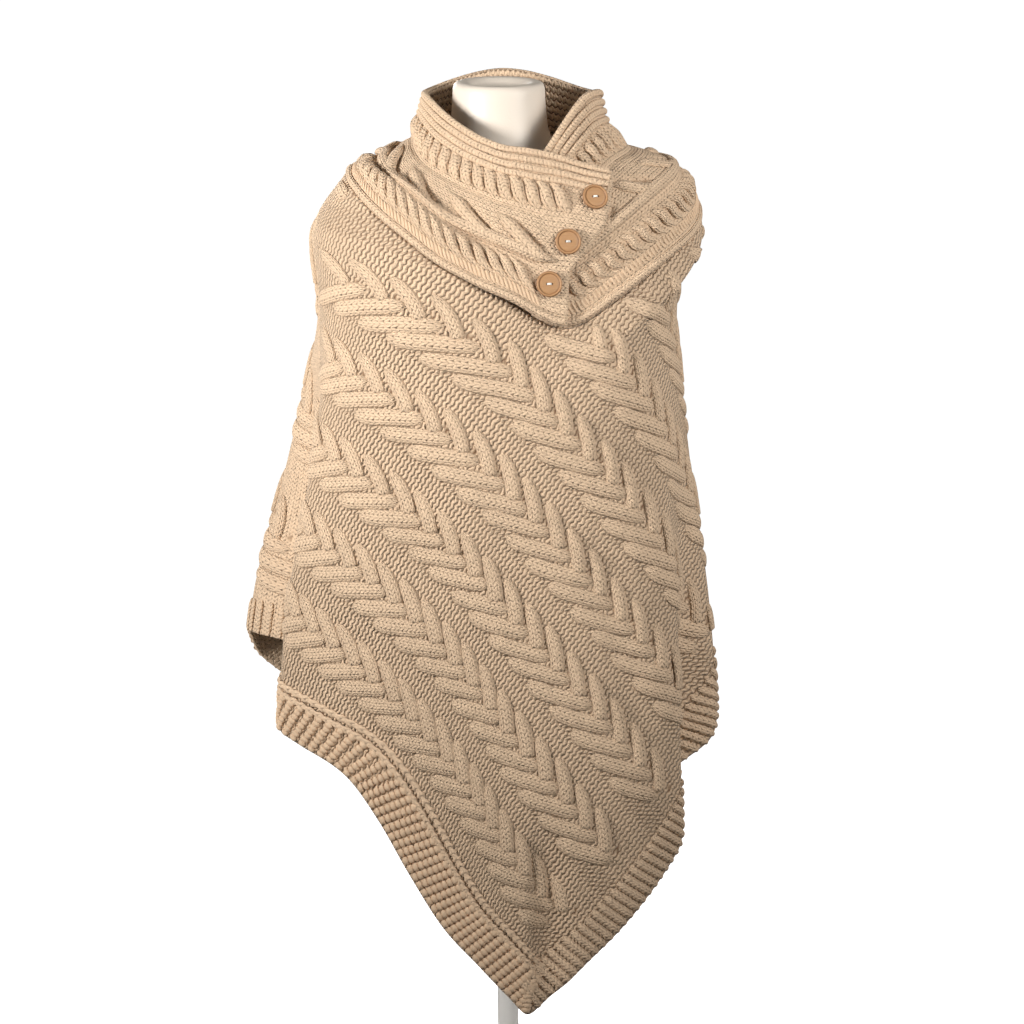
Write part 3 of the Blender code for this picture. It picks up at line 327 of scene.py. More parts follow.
# %% Both panels
FRONT_CREASES = (
    # across and up of one end, then of the other, half width, depth (a ridge where it is negative)
    (-.125, .74, -.060, .50, .020, .0040),
    (-.060, .70, .010, .44, .022, -.0030),
    (.030, .30, .045, .12, .016, .0045),
    (.085, .62, .130, .34, .022, .0035),
    (-.150, .52, -.110, .34, .018, .0030),
    (.190, .60, .200, .36, .016, -.0030),
)
BACK_CREASES = (
    (-.110, .72, -.070, .48, .020, .0040),
    (-.020, .70, .020, .42, .022, -.0028),
    (.035, .34, .030, .14, .017, .0045),
    (.100, .66, .135, .38, .022, .0036),
    (-.160, .54, -.125, .36, .018, .0030),
)
front = Panel("front_panel", 0, FRONT_HEM, FRONT_CREASES)
back = Panel("back_panel", 180, BACK_HEM, BACK_CREASES)


def cut_area(panel):
    return float(np.trapz(panel.top_table - panel.hem_table, panel.table))


def cut_length(panel):
    return float(panel.top_table.max() - panel.hem_table.min())


for panel in (front, back):
    wide, high, area = (round(x, 3) for x in (panel.right - panel.left, cut_length(panel), cut_area(panel)))
    print(panel.name, "cut", wide, "x", high, "m,", area, "m2")

# %% [markdown]
# ## Along and over the knitting
#
# The wales start nearly level at one side seam and turn steeper across the panel, as they do when a
# straight knitted piece is pulled round a shoulder. A short table of slopes is summed into two curves; with
# them every flat place has an `along` and an `over`, and a cable's V can be drawn in the knitting's own
# sizes.

# %% The knitting's own coordinates
CABLE_SLOPE = ((-.26, 12), (-.15, 30), (0, 49.5), (.15, 54.5), (.30, 58), (.42, 60))
GROUND_SLOPE = ((-.26, 24), (-.15, 34), (0, 46), (.15, 50), (.42, 53))
FIELD_HEIGHT = 0.568
FIELD_ACROSS = np.linspace(-0.34, 0.62, 961)


def summed(values):
    step = FIELD_ACROSS[1] - FIELD_ACROSS[0]
    total = np.concatenate([[0.0], np.cumsum((values[1:] + values[:-1]) / 2 * step)])
    return total - np.interp(0.0, FIELD_ACROSS, total)


def field(rows):
    """The slope, the fall and the run of the wales across a panel, from (across, degrees) rows."""
    slope = np.radians(np.interp(FIELD_ACROSS, *zip(*rows)))
    return slope, summed(np.tan(slope)), summed(1 / np.cos(slope))


CABLE_FIELD, GROUND_FIELD = field(CABLE_SLOPE), field(GROUND_SLOPE)


def knit_of(flat, curves=CABLE_FIELD):
    slope, fall, run = (np.interp(flat[..., 0], FIELD_ACROSS, values) for values in curves)
    below = FIELD_HEIGHT - flat[..., 1] - fall
    return np.stack([run + below * np.sin(slope), below * np.cos(slope)], -1)


def flat_of(along, over):
    slopes, falls, runs = CABLE_FIELD
    across = float(np.interp(along, runs + over * np.tan(slopes), FIELD_ACROSS))
    slope = np.interp(across, FIELD_ACROSS, slopes)
    return across, float(FIELD_HEIGHT - np.interp(across, FIELD_ACROSS, falls) - over / math.cos(slope))


print("the field's zero line at the middle:", np.round(flat_of(0.0, 0.0), 3))

# %% [markdown]
# ## Helpers that turn numbers into pieces
#
# Every piece ends as a plain mesh whose object stays at the origin, with smooth shading and a UV map that
# counts stitches. Shells are built as two grids, a fine one outside and a coarser one inside, closed by a
# rim, so that the cloth has a real thickness and a real edge.

# %% Mesh helpers
def mesh_piece(name, points, faces, finish, uv=None):
    """A smooth mesh object; uv holds one (u, v) for each corner of each face, in order."""
    mesh = bpy.data.meshes.new(name)
    points = [tuple(p) for p in np.asarray(points, float)]
    mesh.from_pydata(points, [], [tuple(int(v) for v in face) for face in faces])
    mesh.polygons.foreach_set("use_smooth", [True] * len(mesh.polygons))
    if uv is not None:
        layer = mesh.uv_layers.new(name="UVMap")
        layer.data.foreach_set("uv", np.asarray(uv, np.float32).ravel())
    mesh.materials.append(finish)
    mesh.update()
    piece = bpy.data.objects.new(name, mesh)
    bpy.context.scene.collection.objects.link(piece)
    return piece


def turned_out(piece):
    """Faces of a closed piece made to point outwards."""
    shape = bmesh.new()
    shape.from_mesh(piece.data)
    if shape.calc_volume(signed=True) < 0:
        bmesh.ops.reverse_faces(shape, faces=shape.faces)
        shape.to_mesh(piece.data)
    shape.free()
    return piece


# %% A shell of cloth
EDGE_ROUND = 0.0011       # how far a shell's border draws in
RIM_UV = (0.60, 0.25)     # a place on a stitch that stands for the whole cut edge


def edge_of(grid):
    """A grid's border, once round."""
    return np.concatenate([grid[:-1, 0], grid[-1, :-1], grid[:0:-1, -1], grid[0, :0:-1]])


def corners(grid, inwards=False):
    """What a grid holds at the four corners of each of its cells, round one way or the other."""
    a, b, c, d = grid[:-1, :-1], grid[1:, :-1], grid[1:, 1:], grid[:-1, 1:]
    return np.stack([a, d, c, b] if inwards else [a, b, c, d], 2).reshape(-1, 4, *grid.shape[2:])


def shell(name, cloth, flat, height, uv, finish, lining):
    """A closed wall on a flat grid: a fine outer face, and an inner one on every second column and row."""
    border = np.zeros(flat.shape[:2])
    border[0], border[-1], border[:, 0], border[:, -1] = 1, 1, 1, 1
    outer, _ = cloth.place(flat, height - GROUND_DEPTH - EDGE_ROUND * border)
    inner, _ = cloth.place(flat[::2, ::2], -GROUND_DEPTH - WALL + EDGE_ROUND * border[::2, ::2])
    (n, m), (p, q) = outer.shape[:2], inner.shape[:2]
    outer_id, inner_id = np.arange(n * m).reshape(n, m), n * m + np.arange(p * q).reshape(p, q)
    outside, inside = corners(outer_id), corners(inner_id, inwards=True)
    fine, coarse = edge_of(outer_id), edge_of(inner_id)
    rim = []
    for i in range(len(coarse)):
        x, y = coarse[i], coarse[(i + 1) % len(coarse)]
        o, h, e = fine[2 * i], fine[2 * i + 1], fine[(2 * i + 2) % len(fine)]
        rim += [(h, o, x), (h, x, y), (e, h, y)]
    uv = np.concatenate([uv[0].reshape(-1, 2), uv[1].reshape(-1, 2), np.tile(RIM_UV, (len(rim) * 3, 1))])
    points = np.concatenate([outer.reshape(-1, 3), inner.reshape(-1, 3)])
    piece = mesh_piece(name, points, [*outside, *inside, *rim], finish, uv)
    piece.data.materials.append(lining)
    for face in piece.data.polygons[len(outside) : len(outside) + len(inside)]:
        face.material_index = 1
    return turned_out(piece)


def mark(piece, name, values):
    """Stores a value at each outer point of a shell, and 0 on its inside."""
    kept = np.zeros(len(piece.data.vertices))
    kept[: values.size] = values.ravel()
    piece.data.attributes.new(name, "FLOAT", "POINT").data.foreach_set("value", kept)


def triangles(piece):
    return sum(len(f.vertices) - 2 for f in piece.data.polygons)


# %% [markdown]
# ## Effects that several finishes share
#
# Three node groups do the knitting. One draws the V's of stocking stitch, one the wavy ridges of its purl
# side, with the pebbles between the cables, and one turns any stitch height into the colour of wool: the
# wool's own colour on the crown of a stitch, painted shade in the gaps between stitches, a little uneven
# from strand to strand. They put out only masks, heights and colours; the shader itself stays in each
# material. A small class adds the nodes, so that a line of the script reads like the sum it stands for.

# %% Node helpers
FLOAT, COLOUR, VECTOR = "NodeSocketFloat", "NodeSocketColor", "NodeSocketVector"


def group(name, inputs, outputs, kind="ShaderNodeTree"):
    """A node tree with named sockets, and its two ends."""
    tree = bpy.data.node_groups.new(name, kind)
    for label, socket_type, value in inputs:
        socket = tree.interface.new_socket(label, in_out="INPUT", socket_type=socket_type)
        if value is not None:
            socket.default_value = value
    for label, socket_type in outputs:
        tree.interface.new_socket(label, in_out="OUTPUT", socket_type=socket_type)
    return tree, tree.nodes.new("NodeGroupInput"), tree.nodes.new("NodeGroupOutput")


class Maths:
    """Adds nodes to a tree in short lines. Each input is a value or another node's output."""

    def __init__(self, tree):
        self.tree = tree

    def add(self, kind, inputs=(), **settings):
        node = self.tree.nodes.new(kind)
        for key, value in settings.items():
            setattr(node, key, value)
        for key, value in dict(inputs).items():
            if isinstance(value, bpy.types.NodeSocket):
                self.tree.links.new(value, node.inputs[key])
            else:
                node.inputs[key].default_value = value
        return node

    def do(self, operation, *values, clamp=False):
        return self.add("ShaderNodeMath", enumerate(values), operation=operation, use_clamp=clamp).outputs[0]

    def pair(self, x, y):
        return self.add("ShaderNodeCombineXYZ", {"X": x, "Y": y}).outputs[0]

    def parts(self, vector):
        return self.add("ShaderNodeSeparateXYZ", {0: vector}).outputs

    def place(self):
        return self.add("ShaderNodeTexCoord").outputs["Object"]

    def uv(self):
        return self.add("ShaderNodeUVMap", uv_map="UVMap").outputs["UV"]

    def noise(self, place, scale, detail=3.0, rough=0.5):
        inputs = {"Vector": place, "Scale": scale, "Detail": detail, "Roughness": rough}
        return self.add("ShaderNodeTexNoise", inputs).outputs["Fac"]

    def blend(self, share, low, high):
        low, high = ((*value, 1.0) if isinstance(value, tuple) else value for value in (low, high))
        return self.add("ShaderNodeMix", {0: share, 6: low, 7: high}, data_type="RGBA").outputs[2]

    def feed(self, shader, colour, roughness, height, bump):
        """Gives a shader its colour and roughness, and the height that its bump comes from."""
        raised = self.add("ShaderNodeBump", {"Strength": 1.0, "Distance": bump, "Height": height})
        results = {"Base Color": colour, "Roughness": roughness, "Normal": raised.outputs["Normal"]}
        for label, result in results.items():
            self.tree.links.new(result, shader.inputs[label])


def new_finish(name):
    """A new material, what adds its nodes, and its shader."""
    made = bpy.data.materials.new(name)
    made.use_nodes = True
    return made, Maths(made.node_tree), made.node_tree.nodes["Principled BSDF"]


# %% Two stitches
def stocking_group():
    """Columns of V's: U counts stitches along a column, V counts columns, with a column's middle at 0."""
    tree, start, end = group("stocking_stitch", [("U", FLOAT, 0), ("V", FLOAT, 0)], [("Height", FLOAT)])
    m, u, v = Maths(tree), start.outputs["U"], start.outputs["V"]
    column = m.do("FRACT", m.do("ADD", v, 100.5))
    side = m.do("MULTIPLY", m.do("ABSOLUTE", m.do("SUBTRACT", column, 0.5)), 2.0)
    leg = m.do("SINE", m.do("MULTIPLY", side, math.pi))
    beside = m.do("POWER", m.do("SUBTRACT", 1.0, leg), 1.6)
    beside = m.do("MULTIPLY", beside, m.do("MULTIPLY_ADD", side, 0.45, 0.55))
    row = m.do("FRACT", m.do("ADD", m.do("ADD", u, 100.0), m.do("MULTIPLY", side, -0.55)))
    between = m.do("POWER", m.do("SUBTRACT", 1.0, m.do("SINE", m.do("MULTIPLY", row, math.pi))), 1.8)
    both = m.do("MULTIPLY", m.do("MULTIPLY", beside, between), 0.6)
    uneven = m.do("MULTIPLY_ADD", m.noise(m.pair(u, v), 0.9, 2.0), 1.7, -0.05)
    low = m.do("ADD", m.do("MULTIPLY", beside, 0.45), m.do("ADD", m.do("MULTIPLY", between, 0.48), both))
    height = m.do("SUBTRACT", 1.0, m.do("MULTIPLY", low, uneven), clamp=True)
    tree.links.new(height, end.inputs["Height"])
    return tree


def purl_group():
    """Wavy ridges: U counts ridges, V counts the waves along them; Pebbles breaks them into bumps."""
    tree, start, end = group(
        "purl_ridges", [("U", FLOAT, 0), ("V", FLOAT, 0), ("Pebbles", FLOAT, 0)], [("Height", FLOAT)]
    )
    m, u, v = Maths(tree), start.outputs["U"], start.outputs["V"]
    stray = m.do("SUBTRACT", m.noise(m.pair(u, v), 0.62, 3.0), 0.5)
    turn = m.do("ADD", v, m.do("MULTIPLY", stray, 1.2))
    wave = m.do("ADD", m.do("SINE", m.do("MULTIPLY", turn, 2 * math.pi)), m.do("MULTIPLY", stray, 1.6))
    row = m.do("FRACT", m.do("ADD", m.do("MULTIPLY", wave, 0.15), m.do("ADD", u, 100.0)))
    ridge = m.do("SINE", m.do("MULTIPLY", row, math.pi))
    beat = m.do("SINE", m.do("MULTIPLY", v, 4 * math.pi))
    height = m.do("MULTIPLY", ridge, m.do("MULTIPLY_ADD", beat, 0.13, 0.87))
    turn = m.do("MULTIPLY", m.do("ADD", v, m.do("MULTIPLY", u, 0.5)), 1.45)
    pebble = m.do("ABSOLUTE", m.do("SINE", m.do("MULTIPLY", turn, math.pi)))
    pebble = m.do("MULTIPLY", ridge, m.do("MULTIPLY_ADD", pebble, 0.85, 0.15))
    share = m.do("MULTIPLY", start.outputs["Pebbles"], 0.8)
    height = m.do("MULTIPLY", height, m.do("SUBTRACT", 1.0, share))
    height = m.do("ADD", height, m.do("MULTIPLY", pebble, share))
    tree.links.new(height, end.inputs["Height"])
    return tree


STOCKING, PURL = stocking_group(), purl_group()
print("stitches:", STOCKING.name, PURL.name)


# %% The colour of wool
def wool_group():
    """The colour of wool over stitches of a given height, with painted shade in the gaps between them, and
    the fuzz that goes on top of them.
    """
    tree, start, end = group(
        "wool",
        [("Height", FLOAT, 1), ("Place", VECTOR, (0, 0, 0)), ("Wool", COLOUR, (.6, .46, .3, 1)),
         ("Shade colour", COLOUR, (.2, .1, .05, 1)), ("Shade strength", FLOAT, 0.8)],
        [("Color", COLOUR), ("Height", FLOAT), ("Roughness", FLOAT)],
    )
    m = Maths(tree)
    place = start.outputs["Place"]
    broad = m.noise(place, 9.0, 2.0)
    yarn = m.noise(place, 420.0, 2.0)
    fibre = m.noise(place, 1500.0, 2.0, 0.7)
    # Painted shade: the lower the stitch height, the more the dark gap colour covers the wool.
    gap_shade = m.do("SUBTRACT", 1.0, m.do("MULTIPLY", start.outputs["Height"], 1.9, clamp=True))
    gap_shade = m.do("MULTIPLY", m.do("POWER", gap_shade, 1.4), start.outputs["Shade strength"])
    pale = m.do("MULTIPLY_ADD", m.do("SUBTRACT", yarn, 0.5), 0.9, 0.5, clamp=True)
    value = m.do("ADD", 0.80, m.do("ADD", m.do("MULTIPLY", pale, 0.26), m.do("MULTIPLY", broad, 0.16)))
    bright = m.add("ShaderNodeHueSaturation", {"Value": value, "Color": start.outputs["Wool"]})
    colour = m.blend(gap_shade, bright.outputs["Color"], start.outputs["Shade colour"])
    tree.links.new(colour, end.inputs["Color"])
    height = m.do("ADD", start.outputs["Height"], m.do("MULTIPLY", fibre, 0.22))
    height = m.do("ADD", height, m.do("MULTIPLY", yarn, 0.55))
    tree.links.new(height, end.inputs["Height"])
    tree.links.new(m.do("MULTIPLY_ADD", fibre, 0.15, 0.82), end.inputs["Roughness"])
    return tree


WOOL = wool_group()
print("colour group:", WOOL.name)

# %% [markdown]
# ## Knitted materials
#
# Each cloth material reads the piece's own UV map, in which one unit is one stitch, so the stitches follow
# the cables and the hems instead of sliding over them. Wool scatters light at its edges, which the sheen
# gives. Garter beads and purl bars are single loops already, so their wool has no stitches of its own.

# %% Wool finishes
WOOL_COLOUR = (0.70, 0.515, 0.355, 1.0)
# The gap colour and its strength paint shade into the gaps between stitches.
GAP_SHADE_COLOUR = (0.155, 0.078, 0.036, 1.0)
GAP_SHADE_STRENGTH = 0.95          # how dark the gaps between stitches are
LOOP_HEIGHT = 0.42   # a single loop's own height, as the wool group reads it


def wool_finish(name, bump, stitch=None):
    """Wool, with the stitches of one of the groups or, for single loops, with none."""
    made, m, shader = new_finish(name)
    shader.inputs["Sheen Weight"].default_value = 0.12
    shader.inputs["Sheen Roughness"].default_value = 0.5
    shader.inputs["Sheen Tint"].default_value = (1.0, 0.93, 0.84, 1.0)
    shader.inputs["Specular IOR Level"].default_value = 0.15
    inputs = {"Place": m.place(), "Wool": WOOL_COLOUR, "Height": LOOP_HEIGHT}
    if stitch:
        split = m.parts(m.uv())
        pattern = m.add("ShaderNodeGroup", {"U": split["X"], "V": split["Y"]}, node_tree=stitch)
        if "Pebbles" in pattern.inputs:
            pebbles = m.add("ShaderNodeAttribute", attribute_name="pebbles")
            m.tree.links.new(pebbles.outputs["Fac"], pattern.inputs["Pebbles"])
        # The attribute read here is painted shade: it darkens the wool towards the gap colour and flattens
        # its bump, in holes, creases and under the ropes.
        painted_shade = m.add("ShaderNodeAttribute", attribute_name="painted_shade")
        unshaded = m.do("SUBTRACT", 1.0, painted_shade.outputs["Fac"], clamp=True)
        inputs["Height"] = m.do("MULTIPLY", pattern.outputs["Height"], unshaded)
        inputs |= {"Shade colour": GAP_SHADE_COLOUR, "Shade strength": GAP_SHADE_STRENGTH}
    wool = m.add("ShaderNodeGroup", inputs, node_tree=WOOL).outputs
    m.feed(shader, wool["Color"], wool["Roughness"], wool["Height"], bump)
    return made


purl_wool = wool_finish("purl_wool", 0.0028, PURL)
stocking_wool = wool_finish("stocking_wool", 0.0023, STOCKING)
loop_wool = wool_finish("loop_wool", 0.0012)
print("wool materials:", purl_wool.name, stocking_wool.name, loop_wool.name)

# %% [markdown]
# ## The two panels as thin shells
#
# A grid of columns from the hem to the yoke is laid over each flat panel and placed on the drape. The purl
# ground goes into its UV map: one unit of U is one ridge and one of V one wave, both counted in the
# knitting's own directions. The border points draw in to round the edge.

# %% Panel shells
CELL = 0.0030                       # between a shell's columns
ROW_SHARE = 0.86                    # of its longest column, the length that its rows are counted on
COLUMN_PITCH = 0.0801               # from one cable column to the next
FIRST_COLUMN_CENTRE = 2.5           # the column number that lies on the field's zero line
RIDGE_PITCH, WAVE_PITCH = 0.0047, 0.0070
ROW_SKEW = -0.19
PLAIN_END = {"front_panel": 0.0, "back_panel": 0.075}   # the back panel's end, on the front, is plain
PLAIN_STITCH = (0.0046, 0.0042)
SHELL_FLATS = {}


def rows_and_waves(flat):
    """The purl ground's UV: ridges counted along the wales, a little skew, and waves over them."""
    knit = knit_of(flat, GROUND_FIELD)
    skew = knit + np.stack([knit[..., 1] * ROW_SKEW, np.zeros(knit.shape[:-1])], -1)
    return skew / np.array([RIDGE_PITCH, WAVE_PITCH])


def pebbled(flat):
    """1 between the arms of the V's, where the ground stands up in separate bumps, and 0 elsewhere."""
    over = knit_of(flat)[..., 1] / COLUMN_PITCH + FIRST_COLUMN_CENTRE
    beside = (over - np.floor(over)) * COLUMN_PITCH
    return smooth_step((beside - 0.002) / 0.006) * smooth_step((0.037 - beside) / 0.008)


def panel_shell(panel):
    columns = 2 * round((panel.right - panel.left) / CELL / 2) + 1
    rows = 2 * round(cut_length(panel) * ROW_SHARE / CELL / 2) + 1
    across = np.linspace(panel.left, panel.right, columns)
    low, high = panel.hem(across), panel.top(across)
    up = low[:, None] + (high - low)[:, None] * np.linspace(0.0, 1.0, rows)
    flat = np.stack(np.broadcast_arrays(across[:, None], up), -1)
    plain_faces = np.repeat((across[1:] + across[:-1]) / 2 > panel.right - PLAIN_END[panel.name], rows - 1)
    plain, knit = corners(flat[..., ::-1] / PLAIN_STITCH), corners(rows_and_waves(flat))
    inside = corners(rows_and_waves(flat[::2, ::2]), inwards=True)
    uv = np.where(plain_faces[:, None, None], plain, knit), inside
    piece = shell(panel.name + "_knit", panel, flat, 0.0, uv, purl_wool, stocking_wool)
    for face in np.nonzero(plain_faces)[0]:
        piece.data.polygons[face].material_index = 1
    mark(piece, "pebbles", pebbled(flat))
    SHELL_FLATS[panel.name] = flat.reshape(-1, 2)
    return piece


panel_shells = {}
for panel in (front, back):
    panel_shells[panel.name] = panel_shell(panel)
    print(panel.name, triangles(panel_shells[panel.name]), "triangles")

# %% [markdown]
# ## A strand of knitting, swept along a path
#
# On the real garment a cable is a few stitches that cross over their neighbours, so it stands up as a plump
# band. Here each band is a path with an outward direction at each point, and one Geometry Nodes tree sweeps
# a rounded profile along all of them. Named inputs hold its half width and its rise; the tree also counts
# the stitches along and across into the UV map. Many paths go into one mesh of bare edges, which keeps it
# quick.

# %% Beginning and end of a tree
GEOMETRY = "NodeSocketGeometry"


def shape_tree(name, sizes):
    """A Geometry Nodes tree: what adds its nodes, its named sizes, and the socket where it ends."""
    inputs = [("Geometry", GEOMETRY, None), *sizes, ("Material", "NodeSocketMaterial", None)]
    tree, start, end = group(name, inputs, [("Geometry", GEOMETRY)], "GeometryNodeTree")
    return Maths(tree), start.outputs, end.inputs["Geometry"]


def named(m, attribute, kind="FLOAT"):
    return m.add("GeometryNodeInputNamedAttribute", {"Name": attribute}, data_type=kind).outputs["Attribute"]


def end_tree(m, shape, given, end):
    """The last nodes of a tree: real, smooth geometry with its material."""
    real = m.add("GeometryNodeRealizeInstances", {"Geometry": shape})
    smooth = m.add("GeometryNodeSetShadeSmooth", {"Geometry": real.outputs["Geometry"]})
    inputs = {"Geometry": smooth.outputs["Geometry"], "Material": given["Material"]}
    m.tree.links.new(m.add("GeometryNodeSetMaterial", inputs).outputs["Geometry"], end)
    return m.tree


# %% The strand tree
def strand_tree():
    sizes = (("Half width", .006), ("Rise", .004), ("Sink", .003), ("Stitches across", 3.0), ("Crown", 1.05))
    m, given, end = shape_tree(
        "knitted_strand", [(label, FLOAT, value) for label, value in sizes] + [("Sides", "NodeSocketInt", 12)]
    )
    paths = m.add("GeometryNodeMeshToCurve", {"Mesh": given["Geometry"]})
    inputs = {"Curve": paths.outputs["Curve"], "Normal": named(m, "out", "FLOAT_VECTOR")}
    upright = m.add("GeometryNodeSetCurveNormal", inputs, mode="FREE")

    circle = m.add("GeometryNodeCurvePrimitiveCircle", {"Radius": 1.0, "Resolution": given["Sides"]})
    at = m.parts(m.add("GeometryNodeInputPosition").outputs["Position"])
    turn = m.do("DIVIDE", m.do("ARCTAN2", at["Y"], at["X"]), math.pi)
    inputs = {"Geometry": circle.outputs["Curve"], "Name": "v", "Value": turn}
    store = m.add("GeometryNodeStoreNamedAttribute", inputs, data_type="FLOAT", domain="POINT")
    crown = m.do("POWER", m.do("MAXIMUM", at["X"], 0.0), given["Crown"])
    high = m.do("MULTIPLY", crown, given["Rise"])
    low = m.do("MULTIPLY", m.do("MINIMUM", at["X"], 0.0), given["Sink"])
    spot = m.pair(m.do("ADD", high, low), m.do("MULTIPLY", at["Y"], given["Half width"]))
    profile = m.add("GeometryNodeSetPosition", {"Geometry": store.outputs["Geometry"], "Position": spot})

    inputs = {"Curve": upright.outputs["Curve"], "Profile Curve": profile.outputs["Geometry"],
              "Scale": named(m, "full"), "Fill Caps": True}
    sweep = m.add("GeometryNodeCurveToMesh", inputs)
    across = m.do("MULTIPLY", named(m, "v"), given["Stitches across"])
    inputs = {"Geometry": sweep.outputs["Mesh"], "Name": "UVMap", "Value": m.pair(named(m, "u"), across)}
    uv = m.add("GeometryNodeStoreNamedAttribute", inputs, data_type="FLOAT2", domain="CORNER")
    return end_tree(m, uv.outputs["Geometry"], given, end)


STRAND_TREE = strand_tree()
print("tree:", STRAND_TREE.name, "with", len(STRAND_TREE.nodes), "nodes")

# %% [markdown]
# ## Running a tree on paths
#
# A tree works on a mesh through a modifier. Its result could stay live, but a plain mesh is what other
# programs read, so the result is copied out and the modifier removed. A path becomes a row of bare edges
# with three values at each point: which way is out, how full the strand is, and the stitches so far.

# %% Strands from paths
def run_tree(name, mesh, tree, values):
    """Evaluates a tree on a mesh and keeps the result as a plain mesh piece."""
    source = bpy.data.objects.new(name, mesh)
    bpy.context.scene.collection.objects.link(source)
    made = source.modifiers.new(tree.name, "NODES")
    made.node_group = tree
    sockets = {
        item.name: item.identifier
        for item in tree.interface.items_tree
        if item.item_type == "SOCKET" and item.in_out == "INPUT"
    }
    for label, value in values.items():
        made[sockets[label]] = value
    bpy.context.view_layer.update()
    seen = source.evaluated_get(bpy.context.evaluated_depsgraph_get())
    plain = bpy.data.meshes.new_from_object(seen)
    plain.name = name
    source.modifiers.clear()
    source.data = plain
    for extra in [a.name for a in plain.attributes if a.name in ("out", "full", "u", "v", "way")]:
        plain.attributes.remove(plain.attributes[extra])
    return source


def paths_mesh(name, paths):
    """One mesh of bare edges from paths, each a dict of points, out, full and u."""
    points = np.concatenate([p["points"] for p in paths])
    edges, first = [], 0
    for p in paths:
        count = len(p["points"])
        edges += [(first + i, first + i + 1) for i in range(count - 1)]
        first += count
    mesh = bpy.data.meshes.new(name)
    mesh.from_pydata([tuple(p) for p in points], edges, [])
    for key, kind in (("out", "FLOAT_VECTOR"), ("full", "FLOAT"), ("u", "FLOAT")):
        values = np.concatenate([np.asarray(p[key], np.float32) for p in paths])
        layer = mesh.attributes.new(key, kind, "POINT")
        layer.data.foreach_set("vector" if kind == "FLOAT_VECTOR" else "value", values.ravel())
    return mesh


def cloth_path(cloth, flat, full, u, height=-GROUND_DEPTH):
    """A strand's path on a flat piece of cloth: how full the strand is and how many stitches are counted."""
    flat = np.array(flat)
    points, normal = cloth.place(flat, np.broadcast_to(height, len(flat)))
    return {"points": points, "out": normal, "full": full, "u": u}


def strands(name, paths, half_width, rise, across=3.0, sides=12, sink=.003, finish=None, crown=1.05):
    values = {"Half width": half_width, "Rise": rise, "Sink": sink, "Stitches across": across,
              "Sides": sides, "Crown": crown, "Material": finish or stocking_wool}
    piece = turned_out(run_tree(name, paths_mesh(name, paths), STRAND_TREE, values))
    print(name, len(paths), "strands,", triangles(piece), "triangles")
    return piece


# %% [markdown]
# ## The V cables
#
# Each column of cables is a row of V's one behind another: a long arm that lies nearly level, and a steep
# arm whose foot comes down on it. They are drawn in the knitting's own coordinates and then placed on the
# drape. A V that would run off a seam, into the hem band or under the yoke is left out, or stops at the
# edge.

# %% Sizes of the cables
CABLE_PITCH = 0.0323            # from one V to the next
LONG_ARM = (-0.0450, 0.0300)    # how far a V's long arm runs along and over the knitting from its point
STEEP_ARM = (-0.0476, -0.0267)  # and its steep arm
LONG_ARM_PAST = 0.0150          # how far the long arm starts before the point
STEEP_HALF_WIDTH, LONG_HALF_WIDTH = 0.0077, 0.0088
STEEP_RISE, LONG_RISE = 0.0038, 0.0030
STEEP_FADES, LONG_FADES = (.0048, .026), (.020, .018)   # how soon an arm is full, and how it ends
LONG_ARM_CURL = 0.0045
STEEP_ARM_BOW = 0.0032
ARM_STITCH = 0.0050
ARM_POINTS, LEAST_POINTS = 15, 9
UNEVEN_PLACE, UNEVEN_REACH, UNEVEN_SPREAD = 0.0007, 0.0015, 0.05
# Where the painted shade of the small hole beside a steep arm's foot lies, and its size.
HOLE_BESIDE_FOOT, HOLE_SIZE = (0.0115, 0.0035), (0.0030, 0.0058)
COLUMNS = (
    # number of the column, and how far its V's are moved along, as a share of the pitch
    (-7, .25), (-6, .75), (-5, .25), (-4, .75), (-3, .25), (-2, .75), (-1, .25), (0, .75), (1, .25), (2, .80),
    (3, .85), (4, .30), (5, .20), (6, .70),
)
GARTER_EDGE = 0.262
HEM_BAND = 0.037
CORD_HALF_WIDTH = 0.0045
LOOK_AHEAD = 0.02    # the hem's direction is taken over this length to each side
print("cable columns:", len(COLUMNS))


# %% The line above the hem band
def band_top(panel, step=0.0106):
    """Feet along the hem, the inward way up the hem band from each, in flat places, and the arc length there.
    """
    at = np.arange(0.0, panel.hem_length[-1] + 1e-6, step)

    def line(length):
        x = np.interp(length, panel.hem_length, panel.table)
        return np.stack([x, np.interp(length, panel.hem_length, panel.hem_table)], -1)

    foot = line(at)
    way = line(at + LOOK_AHEAD) - line(at - LOOK_AHEAD)
    way /= np.linalg.norm(way, axis=1, keepdims=True)
    inward = np.stack([-way[:, 1], way[:, 0]], -1)
    return foot, inward, at


def clear_of_band(flat, feet, inward, margin):
    """Distance of flat places above the top of the hem band, less a margin."""
    tops = feet + inward * HEM_BAND
    away = flat[:, None, :] - tops[None]
    nearest = (away**2).sum(-1).argmin(1)
    return (away[np.arange(len(flat)), nearest] * inward[nearest]).sum(-1) - margin


